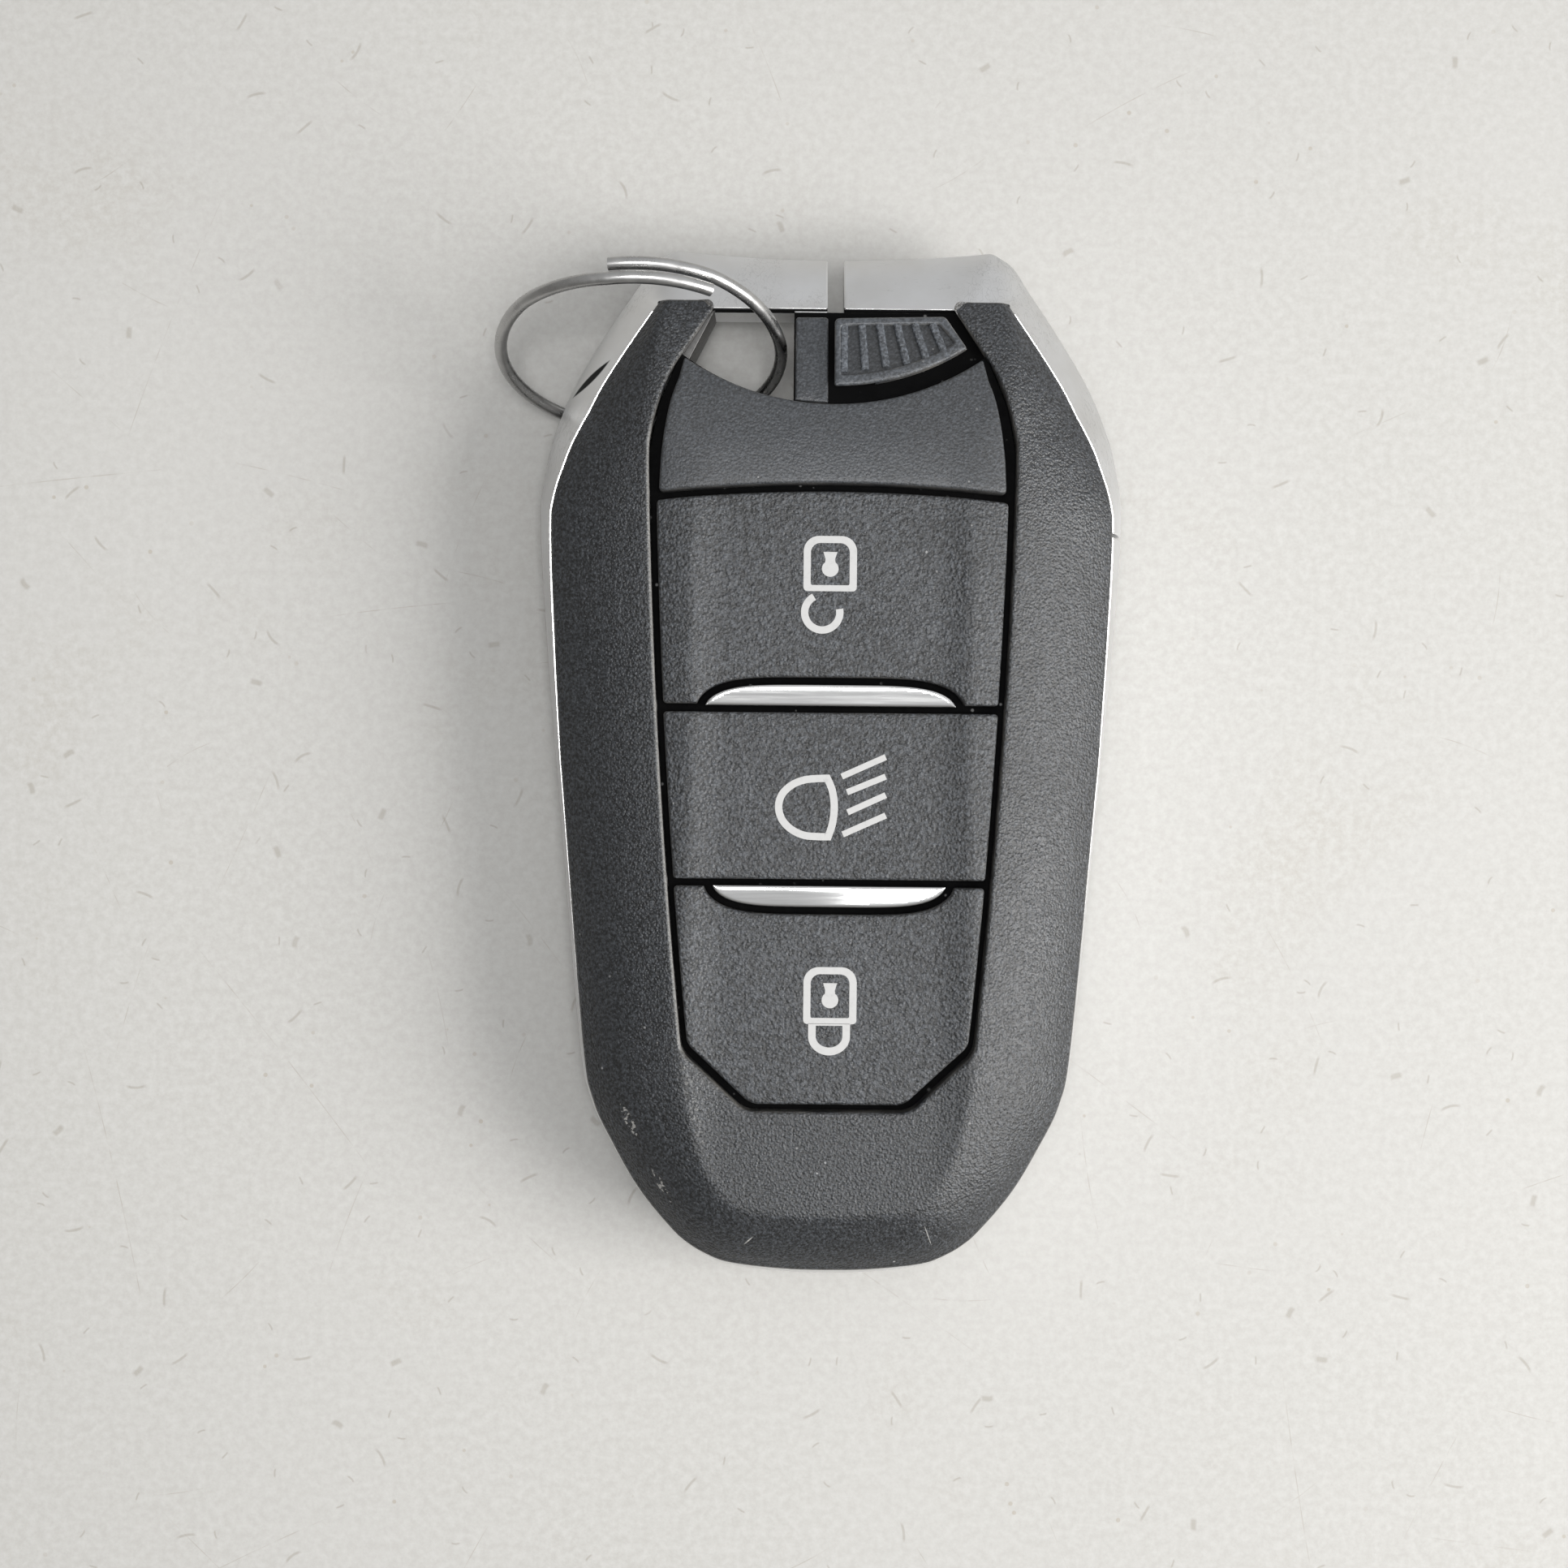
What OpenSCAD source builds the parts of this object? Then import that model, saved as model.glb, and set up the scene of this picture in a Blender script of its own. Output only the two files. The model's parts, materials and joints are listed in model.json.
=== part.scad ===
// Proximity car key fob: a clipped case with a bright band, three push buttons,
// a pull-out emergency key, its release slider and a wire key ring.
// Millimetres. +Y is the ring end, +Z the button face, z 0 the flat rear face.

/* [Body] */
// Length of the body along Y
body_len = 78; // [74:0.5:88]
// Width of the body at its widest line
body_w = 44.3; // [42:0.1:50]
// Distance from the centre of the rear cover to the ring end
ring_end = 38.9; // [37:0.1:42]
// Height of the rear shell's edge, where the bright band starts
rear_edge_h = 3.6; // [3:0.1:4.2]
// Height of the widest line above that edge
widest_rise = 2.8; // [2:0.1:3.5]
// Wall of the bright band
band_t = 2.2; // [1.6:0.1:2.6]
// Sag of the ring end between its two corners
end_sag = 0.7; // [0.3:0.1:1]
// Start of the rear face's rise towards the ring, from the ring end
rise_start = 20; // [18.6:0.1:20.6]
// Joint line between two fixed case pieces
seam = 0.1; // [0.05:0.01:0.15]
// Play around a piece that slides or lifts out
fit = 0.15; // [0.1:0.01:0.25]

/* [Stack of layers] */
// Thickness of the rear cover
cover_t = 1.3; // [1.1:0.1:1.8]
// Thickness of the coin cell
cell_h = 3.2; // [2.5:0.1:3.6]
// Space over the coin cell
cell_room = 0.5; // [0.4:0.1:1]
// Thickness of the key blade
blade_t = 2.1; // [1.8:0.1:2.5]
// Plastic of the key core over the blade
core_lip = 0.6; // [0.4:0.1:0.9]
// Room for the latch between the key core and the front frame
latch_room = 2.1; // [1.8:0.1:2.6]
// Thickness of the inner carrier
carrier_t = 0.8; // [0.6:0.1:1.2]
// Thickness of the circuit board
board_t = 0.8; // [0.6:0.1:1.2]
// Height of a push switch body
switch_h = 1.4; // [1.2:0.1:2]
// Thickness of the rubber keypad mat
mat_t = 0.6; // [0.4:0.1:1]
// Thickness of the web under the buttons
web_t = 0.6; // [0.5:0.1:1]
// Travel of a button
press_travel = 0.5; // [0.3:0.05:0.7]
// Thickness of a button cap over its dished floor
cap_t = 1.4; // [1.1:0.1:1.8]
// Depth of the cap's face under the frame's face
cap_sink = 0.15; // [0.05:0.05:0.3]
// Height of the two crest lines over the dished floor
crest_h = 0.4; // [0.2:0.05:0.6]

/* [Front face] */
// Distance between the two crest lines
crest_w = 20.4; // [18:0.2:22]
// Width of the dished floor between the crests
dish_w = 17.4; // [15:0.2:17.6]
// Width of the window at its widest
face_w = 27.3; // [26:0.1:28.5]
// Gap between a button and the window's edge
edge_gap = 0.55; // [0.4:0.05:0.8]
// Gap between two neighbouring keys
key_gap = 0.7; // [0.5:0.05:0.9]
// Middle of the unlock button's upper edge
unlock_top = 19.75; // [19:0.05:20.5]
// Length of the unlock button
unlock_len = 15.65; // [14.5:0.05:16.5]
// Length of the light button
light_len = 12.15; // [11:0.05:13]
// Length of the lock button
lock_len = 16; // [15:0.05:17]
// Bow of the edge between the panel and the unlock button
edge_bow = 0.8; // [0.4:0.1:1.2]
// Cut corner of the lock button
lock_corner = 4.4; // [3.5:0.1:5]
// Diameter of the stem under a button
stem_d = 3; // [2.6:0.1:3.6]
// Length of the upper trim bar
upper_bar_w = 18.5; // [17:0.1:19.5]
// Length of the lower trim bar
lower_bar_w = 17.2; // [16:0.1:18]
// Width of a trim bar
bar_t = 1.6; // [1.3:0.05:1.9]
// Gap between a trim bar and the buttons beside it
bar_gap = 0.55; // [0.4:0.05:0.7]

/* [Ring eye] */
// Depth of the bright end bar at the ring end
bar_depth = 5.2; // [4.6:0.1:5.8]
// Place of the eye's wall beside the slider
eye_x = -2.95; // [-3.3:0.01:-2.9]
// Slant of the eye's rear wall, measured along Y
eye_flare = 2.6; // [2.4:0.1:3.2]
// Wall between the eye and the battery side
eye_wall_y = 13.9; // [13.4:0.1:14.5]
// Edge of the slot that parts the end bar from the key head
slot_x = -0.45; // [-0.7:0.01:-0.3]
// Width of that slot
slot_w = 1.25; // [1:0.05:1.5]

/* [Emergency key] */
// Distance from the ring end to the end of the key head's side arm
head_arm = 21.8; // [21:0.1:23]
// Length of the blade
blade_len = 47; // [42:0.5:50]
// Width of the blade
blade_w = 7; // [6:0.1:8]
// Distance from the side of the body to the middle of the blade
blade_inset = 11; // [10.5:0.1:12]
// Length of the key core along Y
core_len = 9.6; // [8.6:0.1:10.4]
// Diameter of the pin through core and blade
pin_d = 1.6; // [1.2:0.1:2]
// Width of the track milled in the blade
track_w = 1.3; // [1:0.1:1.6]
// Depth of that track
track_depth = 0.5; // [0.3:0.05:0.7]

/* [Release slider] */
// Length of the slider along X
slider_w = 9.9; // [9:0.1:10.2]
// Depth of the slider along Y
slider_len = 5.2; // [4.8:0.1:5.4]
// Depth of the slider's floor under the front face
floor_sink = 1.15; // [0.9:0.05:1.3]
// Height of the slider's face over the front face
slider_proud = 0.3; // [0.2:0.05:0.4]
// Travel of the slider
slider_travel = 2.5; // [1.8:0.1:2.6]
// Number of grip grooves
grip_count = 6; // [4:1:7]
// Pitch of the grip grooves
grip_pitch = 1.3; // [1.1:0.05:1.4]
// Turn from one groove to the next
grip_fan = 4.4; // [2:0.2:5]
// Depth of the grooves
groove_t = 0.25; // [0.15:0.05:0.3]
// Outside diameter of the return spring
spring_d = 1.5; // [1.3:0.05:1.6]
// Wire of the return spring
spring_wire = 0.25; // [0.2:0.01:0.3]
// Turns of the return spring
spring_turns = 5; // [4:1:6]

/* [Inside] */
// Diameter of the coin cell
cell_d = 20; // [16:0.5:20.5]
// Middle of the coin cell along X
cell_x = -2.5; // [-3.5:0.1:-1.5]
// Wall of the cell's well
well_t = 0.85; // [0.6:0.05:1.1]
// Length of the rear cover
cover_len = 36; // [33:0.5:37]
// Width of the rear cover
cover_w = 25; // [24:0.5:27]
// Ledge that the rear cover seats on
ledge_w = 1; // [0.8:0.1:1.2]
// Wall of the rear shell's upright lip
lip_t = 1; // [0.8:0.1:1.3]
// Diameter of a switch plunger
plunger_d = 2; // [1.6:0.1:2.2]
// Side of a switch body
switch_w = 4.6; // [4:0.1:5.2]
// Thickness of the sheet metal contacts
strip_t = 0.25; // [0.2:0.01:0.3]

/* [Key ring] */
// Diameter of the ring along the middle of its wire
ring_d = 21.1; // [20.6:0.1:23]
// Diameter of the ring's wire
wire_d = 1; // [0.8:0.05:1.1]
// Lean of the ring from flat, in degrees
ring_lean = 63.6; // [61:0.1:66]
// Length of wire lapped at the ends, in degrees of the ring
ring_lap = 42; // [30:1:60]
// Turn at which the lap has its middle
lap_at = 80; // [70:1:100]
// Gap between the lapped ends
lap_gap = 0.25; // [0.2:0.01:0.7]
// Distance from the end bar to the wire in the eye
ring_setback = 3.2; // [2.8:0.1:3.6]

/* [Hidden] */
$fn = 48;
far = 200;
half_w = body_w / 2;
front_y = ring_end - body_len;
bar_y = ring_end - bar_depth;
head_y = ring_end - head_arm;
rise_y = ring_end - rise_start;
eye_wall = ring_end - eye_wall_y;
core_y0 = bar_y - core_len;
board_y1 = head_y - 0.4;

// Layers, from the rear cover up to the crest lines
cell_z0 = cover_t + 0.2;
cell_z1 = cell_z0 + cell_h;
blade_z0 = cell_z1 + cell_room;
blade_z1 = blade_z0 + blade_t;
core_z1 = blade_z1 + core_lip;
part_z = core_z1 + latch_room;
carrier_z0 = blade_z1 + 0.3;
carrier_z1 = carrier_z0 + carrier_t;
board_z0 = carrier_z1 + seam;
board_z1 = board_z0 + board_t;
switch_z0 = board_z1 + 0.05;
switch_z1 = switch_z0 + switch_h;
plunger_z1 = switch_z1 + press_travel + 0.05;
mat_z0 = switch_z1 + 0.2;
mat_z1 = mat_z0 + mat_t;
web_z0 = mat_z1 + seam;
web_z1 = web_z0 + web_t;
cap_z0 = web_z1 + press_travel + 0.25;
face_z = cap_z0 + cap_t + cap_sink;
top_z = face_z + crest_h;
frame_z0 = part_z + seam;
band_z0 = rear_edge_h + seam;
widest_z = rear_edge_h + widest_rise;

// Keys along the face
unlock_y0 = unlock_top - unlock_len;
light_y1 = unlock_y0 - key_gap;
light_y0 = light_y1 - light_len;
lock_y1 = light_y0 - key_gap;
lock_y0 = lock_y1 - lock_len;
window_y0 = lock_y0 - edge_gap;
window_y1 = bar_y - 11.7;
upper_bar_y = light_y1 + bar_gap;
lower_bar_y = light_y0 - bar_gap;
panel_arc_r = 19.3;
panel_arc_y = bar_y + 12.1;
bow_r = (pow(face_w / 2, 2) + pow(edge_bow, 2)) / (2 * edge_bow);

// Emergency key
blade_x = half_w - blade_inset;
blade_y1 = bar_y - 1.2;
head_x = slot_x + slot_w;
pin_y = bar_y - 3.7;

// Slider
slider_x = head_x - 0.74;
slider_y1 = bar_y - 0.75;
slider_sink = floor_sink - fit;
strip_sink = 0.4;
strip_gap = 0.45;
strip_in = 0.2;
slider_r = panel_arc_y - slider_y1 + slider_len;
stem_x0 = slider_x + 6.1;
stem_w = 1.6;
stem_y = slider_y1 - slider_len / 2 + 0.2;
spring_x0 = head_x + 0.86;
spring_z = core_z1 + latch_room / 2;

// Key ring
ring_r = ring_d / 2;
hole_play = 0.45;
ring_x = eye_x - hole_play - wire_d / 2 - ring_r;
ring_y = bar_y - ring_setback;
ring_z = wire_d / 2 + 0.03 + ring_r * sin(ring_lean);

// Half outline at the widest line: share of the half width, distance from the end.
shoulder = [[0, 0], [0.3, 0], [0.515, 0], [0.58, 0.5], [0.625, 1.3], [0.672, 2.9], [0.763, 5.9],
    [0.87, 9.8], [0.935, 13], [0.975, 16], [1, 20.4]];
flank = [[0.976, 0.23], [0.921, 0.58]];
nose = [[0.85, 17.75], [0.812, 13.35], [0.745, 10.15], [0.643, 6.35], [0.506, 2.85],
    [0.406, 1.25], [0.316, 0.55], [0.145, 0.09], [0, 0]];
shoulder_y = ring_end - 20.4;
nose_y = front_y + 17.75;
stations = concat(
    [for (s = shoulder) [s[0] * half_w, ring_end - s[1]]],
    [for (s = flank) [s[0] * half_w, shoulder_y + s[1] * (nose_y - shoulder_y)]],
    [for (s = nose) [s[0] * half_w, front_y + s[1]]]);

function curve(a, b, c, d, t) = 0.5 * (2 * b + (c - a) * t + (2 * a - 5 * b + 4 * c - d) * t * t
    + (3 * b - a - 3 * c + d) * t * t * t);
function smooth(p, n) = let (m = len(p) - 1) concat([for (i = [0:m - 1], k = [0:n - 1])
    curve(p[max(i - 1, 0)], p[i], p[i + 1], p[min(i + 2, m)], k / n)], [p[m]]);
function outward(p, i) = let (m = len(p) - 1, t = p[min(i + 1, m)] - p[max(i - 1, 0)])
    [-t[1], t[0]] / norm(t);
function mirrored(p) = concat(p, [for (i = [len(p) - 1:-1:0]) if (p[i][0] > 0.001) [-p[i][0], p[i][1]]]);
rim = smooth(stations, 2);
// Inset of the upper edge of the bright band along the body, from its nose to the ring end.
upper_inset = [[front_y, 0.85], [front_y + 3, 0.5], [front_y + 14, 0.5], [0, 0.62], [16, 1.02],
    [shoulder_y, 1.08], [ring_end - 12, 2.25], [ring_end - 5, 2.45]];
function inset_rim(d) = [for (i = [0:len(rim) - 1]) rim[i] - d * outward(rim, i)];
upper_rim = [for (i = [0:len(rim) - 1]) rim[i] - lookup(rim[i][1], upper_inset) * outward(rim, i)];
part_y1 = bar_y + 0.3;

// Half width of the window at a place along the face.
function window_x(y) = let (s = max(window_y1 - y, 0)) face_w / 2 - 0.0237 * s - 0.00095 * s * s;
function flank_pts(y1, y0, gap) = [for (i = [0:5]) let (y = y1 + (y0 - y1) * i / 5) [window_x(y) - gap, y]];

// Plan of the body, inset by d, between two places along Y.
module plan(d, y0 = -far, y1 = far) {
    keep = [for (p = inset_rim(d)) if (p[1] < ring_end - 2.5) p];
    intersection() {
        polygon(mirrored(keep));
        translate([-far, max(y0, -far)]) square([2 * far, min(y1, far) - max(y0, -far)]);
    }
}

module slab(z0, z1) {
    translate([0, 0, z0]) linear_extrude(z1 - z0) children();
}

// A profile in Y and Z, extruded along X from x0 to x1.
module side_slab(x0, x1) {
    translate([x0, 0, 0]) rotate([90, 0, 90]) linear_extrude(x1 - x0) children();
}

// Space under the rear face, which rises towards the ring end.
module rear_rise() {
    side_slab(-far, far) polygon([[rise_y, -1], [rise_y, 0], [rise_y + 8.5, rear_edge_h],
        [ring_end + 5, rear_edge_h + 1.6], [ring_end + 5, -1]]);
}

// The eye that the ring goes through, slanted at its rear wall.
module eye_plan() {
    intersection() {
        translate([0, panel_arc_y]) circle(panel_arc_r, $fn = 96);
        polygon([[eye_x, bar_y], [eye_x, bar_y - 12], [-10.9, bar_y - 12], [-10.9, bar_y - 3.8], [-8.9, bar_y]]);
    }
}

module eye() {
    slab(-1, top_z + 1) eye_plan();
    side_slab(-11.4, eye_x) polygon([[bar_y - 5.7, part_z + 0.2], [bar_y - 6.1, part_z - 1],
        [bar_y - 6.1 - eye_flare, 1], [bar_y - 6.1 - eye_flare, -1], [bar_y - 3.8, -1], [bar_y - 3.8, part_z + 0.2]]);
}

// Bright band around the body, lofted through three outlines.
module band_form() {
    difference() {
        hull() {
            slab(band_z0, band_z0 + 0.01) polygon(mirrored(inset_rim(0.6)));
            slab(widest_z - 0.01, widest_z + 0.01) polygon(mirrored(rim));
            slab(part_z - 0.01, part_z) intersection() {
                polygon(mirrored(upper_rim));
                translate([-far, -far]) square([2 * far, far + part_y1]);
            }
        }
        sag_r = (144 + end_sag * end_sag) / (2 * end_sag);
        translate([0, ring_end + sag_r - end_sag, -1]) cylinder(r = sag_r, h = top_z + 2, $fn = 128);
        rear_rise();
    }
}

// Outline of the front face, drawn in by a share of two insets, one at the sides and one at the nose.
function drawn_in(side, nose_in) = [for (i = [0:len(rim) - 1]) rim[i] - outward(rim, i) * (lookup(rim[i][1], upper_inset)
    + lookup(rim[i][1], [[front_y + 2, nose_in], [front_y + 16, side]]))];
module face_outline(side, nose_in) {
    intersection() {
        polygon(mirrored([for (p = drawn_in(side, nose_in)) if (p[1] < ring_end - 2.5) p]));
        translate([-far, -far]) square([2 * far, far + part_y1]);
    }
}

// Front face: a loft up to the two crest lines, cut to its side profile and dished between the crests.
module front_form(sink = 0) {
    dome_h = top_z - part_z;
    drop_y = ring_end - 26;
    tail = [for (i = [0:8]) let (y = drop_y + i * 3) [y, top_z + 0.01 - 0.0078 * pow(y - drop_y, 2)]];
    profile = concat([[front_y - 1, part_z - 2], [front_y - 1, top_z + 0.01]], tail, [[tail[8][0], part_z - 2]]);
    crest = [[0, part_y1], [crest_w / 2, part_y1], [crest_w / 2, front_y + 18], [crest_w / 2 - 2.4, front_y + 8.4],
        [crest_w / 2 - 4.8, front_y + 6.2], [0, front_y + 5.4]];
    translate([0, 0, -sink]) difference() {
        intersection() {
            hull() {
                slab(part_z - 1, part_z + 0.12 * dome_h) face_outline(0, 0);
                slab(part_z + 0.36 * dome_h, part_z + 0.37 * dome_h) face_outline(1.6, 0.7);
                slab(part_z + 0.7 * dome_h, part_z + 0.71 * dome_h) face_outline(5.2, 2.6);
                slab(top_z - 0.01, top_z) polygon(mirrored(crest));
            }
            side_slab(-far, far) polygon(profile);
        }
        translate([0, far, 0]) rotate([90, 0, 0]) linear_extrude(2 * far) polygon([[-dish_w / 2, face_z], [dish_w / 2, face_z],
            [crest_w / 2 - 0.3, top_z + 0.1], [crest_w / 2, top_z + 2], [-crest_w / 2, top_z + 2], [0.3 - crest_w / 2, top_z + 0.1]]);
    }
}

// Window in the front frame, open towards the ring end.
module window_plan(grow = 0) {
    near = [for (s = [[5.9, -4.8], [11, 3.1], [12.1, 4.9], [12.95, 7.1], [13.5, 9.4]])
        [s[0] + face_w / 2 - 13.65 + grow, bar_y - s[1]]];
    half = concat([[0, bar_y + 4.8]], near, flank_pts(window_y1, window_y0 + lock_corner, -grow),
        [[window_x(window_y0) - lock_corner + 0.2 + grow, window_y0 - grow], [0, window_y0 - grow]]);
    polygon(mirrored(half));
}

module stem_holes(d) {
    for (y = [unlock_y, light_y, lock_y]) translate([0, y]) circle(d = d);
}
unlock_y = (unlock_top - edge_bow + unlock_y0) / 2 + 0.9;
light_y = (light_y1 + light_y0) / 2;
lock_y = (lock_y1 + lock_y0) / 2;

module peg_holes(d) {
    for (s = [-1, 1]) {
        translate([s * upper_bar_w / 3, upper_bar_y + bar_t / 2]) circle(d = d);
        translate([s * lower_bar_w / 3, lower_bar_y - bar_t / 2]) circle(d = d);
    }
}

// Room in the front frame for the mat, the switches and the antenna.
module keypad_room(shrink = 0) {
    polygon(mirrored(concat([[0, unlock_top + 0.6 - shrink]],
        flank_pts(unlock_top + 0.6 - shrink, window_y0 + lock_corner, shrink - 2),
        [[window_x(window_y0) - lock_corner + 2.5 - shrink, window_y0 - 1.5 + shrink], [0, window_y0 - 1.5 + shrink]])));
}

module front_frame() {
    color("#26282b") difference() {
        union() {
            intersection() {
                front_form();
                slab(frame_z0, top_z + 1) square(2 * far, center = true);
            }
            translate([spring_x0 - 0.8, stem_y - 1.2, core_z1 + 0.3]) cube([0.8, 2.4, latch_room]);
        }
        slab(web_z1, top_z + 1) window_plan();
        difference() {
            slab(part_z - 1, top_z + 1) intersection() {
                window_plan();
                translate([0, panel_arc_y]) circle(panel_arc_r, $fn = 96);
            }
            front_form(floor_sink);
            // Strip between the eye and the slider, which the slider's lip passes over.
            intersection() {
                front_form(strip_sink);
                slab(0, top_z) translate([eye_x + strip_in, bar_y - 12]) square([slider_x - strip_gap - eye_x - strip_in, 11.4]);
            }
        }
        slab(part_z - 1, top_z + 1) translate([-8.9, bar_y - seam]) square([17.8, 6]);
        slab(part_z - 1, web_z0) {
            keypad_room();
            translate([-8, window_y0 - 5.4]) square([16, 6]);
        }
        slab(web_z0 - 1, web_z1 + 1) {
            stem_holes(stem_d + 2 * 0.3);
            peg_holes(1.3);
        }
        translate([stem_x0 - slider_travel - 0.3, stem_y - 1.3, part_z - 1]) cube([stem_w + slider_travel + 0.6, 2.6, 5]);
        eye();
    }
}

module front_panel() {
    color("#1f2124") intersection() {
        front_form(cap_sink / 2);
        slab(web_z1 + seam, top_z) difference() {
            intersection() {
                polygon(mirrored(concat([[0, bar_y]], [for (s = [[10.3, 3.4], [10.9, 4], [12.3, 7.7], [12.7, 11]])
                    [s[0] + face_w / 2 - 13.65, bar_y - s[1]]], [[window_x(unlock_top - 2) - 0.85, unlock_top - 2], [0, unlock_top - 2]])));
                difference() {
                    square(2 * far, center = true);
                    translate([0, unlock_top - bow_r]) circle(bow_r + key_gap, $fn = 160);
                }
            }
            translate([0, panel_arc_y]) circle(panel_arc_r + seam, $fn = 96);
        }
    }
}

module cap(plan_y) {
    difference() {
        union() {
            intersection() {
                front_form(cap_sink);
                slab(cap_z0, top_z) children();
            }
            translate([0, plan_y, plunger_z1 + 0.05]) cylinder(d = stem_d, h = cap_z0 - plunger_z1 + 0.2);
        }
        // Hollow of the cap around its stem.
        slab(cap_z0 - 1, cap_z0 + cap_t - 0.8) intersection() {
            children();
            difference() {
                translate([0, plan_y]) circle(d = 7);
                translate([0, plan_y]) circle(d = stem_d);
            }
        }
    }
}

module unlock_button() {
    color("#2c2e31") cap(unlock_y) difference() {
        intersection() {
            polygon(mirrored(concat([[0, unlock_top + 1]], flank_pts(unlock_top + 1, unlock_y0, edge_gap), [[0, unlock_y0]])));
            translate([0, unlock_top - bow_r]) circle(bow_r, $fn = 160);
        }
        translate([0, upper_bar_y]) bar_notch(upper_bar_w);
    }
}

module light_button() {
    color("#2c2e31") cap(light_y)
        polygon(mirrored(concat([[0, light_y1]], flank_pts(light_y1, light_y0, edge_gap), [[0, light_y0]])));
}

module lock_button() {
    color("#2c2e31") cap(lock_y) difference() {
        polygon(mirrored(concat([[0, lock_y1]], flank_pts(lock_y1, lock_y0 + lock_corner, edge_gap),
            [[window_x(window_y0) - lock_corner - edge_gap + 0.3, lock_y0], [0, lock_y0]])));
        translate([0, lower_bar_y]) mirror([0, 1]) bar_notch(lower_bar_w);
    }
}

// Trim bar: flat along one edge, bowed along the other, rounded over its top.
function bow_pts(w, t) = [for (i = [0:28]) let (u = sin(-90 + 180 * i / 28)) [u * w / 2, t * pow(1 - pow(abs(u), 5), 0.6)]];
module trim_bar(w) {
    intersection() {
        slab(web_z1 + seam, top_z) polygon(bow_pts(w, bar_t));
        translate([-w, bar_t * 0.45, face_z + 0.1 - 2]) rotate([0, 90, 0]) cylinder(r = 2, h = 2 * w);
    }
    for (s = [-1, 1]) translate([s * w / 3, bar_t / 2, web_z0]) cylinder(d = 1, h = web_t + 0.6, $fn = 24);
}

// Notch in a button for the bar beside it.
module bar_notch(w) {
    polygon(bow_pts(w + 2.4 * bar_gap, bar_t + bar_gap));
    translate([-w / 2 - 1.2 * bar_gap, -bar_gap - key_gap - 1]) square([w + 2.4 * bar_gap, bar_gap + key_gap + 1.01]);
}

module upper_trim_bar() {
    color("#d9dbde") translate([0, upper_bar_y, 0]) trim_bar(upper_bar_w);
}

module lower_trim_bar() {
    color("#d9dbde") translate([0, lower_bar_y, 0]) mirror([0, 1, 0]) trim_bar(lower_bar_w);
}

module bezel() {
    color("#c4c6c9") difference() {
        band_form();
        slab(0, top_z) plan(band_t, -far, eye_wall);
        slab(0, top_z) translate([slot_x, head_y - fit]) square([far, far]);
        eye();
    }
}

module key_head() {
    color("#c4c6c9") difference() {
        intersection() {
            band_form();
            slab(0, top_z) translate([head_x, head_y + fit]) square([far, far]);
        }
        slab(0, top_z) plan(band_t, -far, bar_y);
    }
}

module key_core() {
    color("#232426") difference() {
        slab(band_z0, core_z1) intersection() {
            plan(band_t + 0.05, core_y0, bar_y - 0.05);
            translate([head_x, -far]) square([far, 2 * far]);
        }
        rear_rise();
        translate([blade_x - blade_w / 2 - 0.05, core_y0 - 1, blade_z0 - 0.05])
            cube([blade_w + 0.1, blade_y1 - core_y0 + 1.05, blade_t + 0.1]);
        translate([blade_x, pin_y, band_z0 - 1]) cylinder(d = pin_d + 0.1, h = 10);
        translate([stem_x0 - slider_travel - 0.4, core_y0 - 1, core_z1 - 0.4])
            cube([stem_w + slider_travel + 0.8, stem_y + 1.5 - core_y0 + 1, 1]);
    }
}

// Blade with a winding track milled in both faces.
module key_blade() {
    tip = blade_y1 - blade_len;
    steps = 36;
    mid = [for (i = [0:steps]) let (u = i / steps) [blade_x + (0.9 * sin(430 * u) + 0.5 * sin(970 * u)) * blade_w / 7,
        tip + 0.6 + u * (blade_len * 0.62)]];
    track = concat([for (p = mid) p + [track_w / 2, 0]], [for (i = [steps:-1:0]) mid[i] - [track_w / 2, 0]]);
    color("#b9bbbe") difference() {
        slab(blade_z0, blade_z1) polygon([[blade_x - blade_w / 2, blade_y1], [blade_x + blade_w / 2, blade_y1],
            [blade_x + blade_w / 2, tip + 2.2], [blade_x + 1.2, tip], [blade_x - 1.2, tip], [blade_x - blade_w / 2, tip + 2.2]]);
        slab(blade_z1 - track_depth, blade_z1 + 1) polygon(track);
        slab(blade_z0 - 1, blade_z0 + track_depth) translate([2 * blade_x, 0]) mirror([1, 0]) polygon(track);
        translate([blade_x, pin_y, blade_z0 - 1]) cylinder(d = pin_d + 0.1, h = blade_t + 2);
    }
}

module blade_pin() {
    color("#a9abae") translate([blade_x, pin_y, blade_z0 - 0.9]) cylinder(d = pin_d, h = core_z1 - blade_z0 + 0.85, $fn = 32);
}

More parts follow.
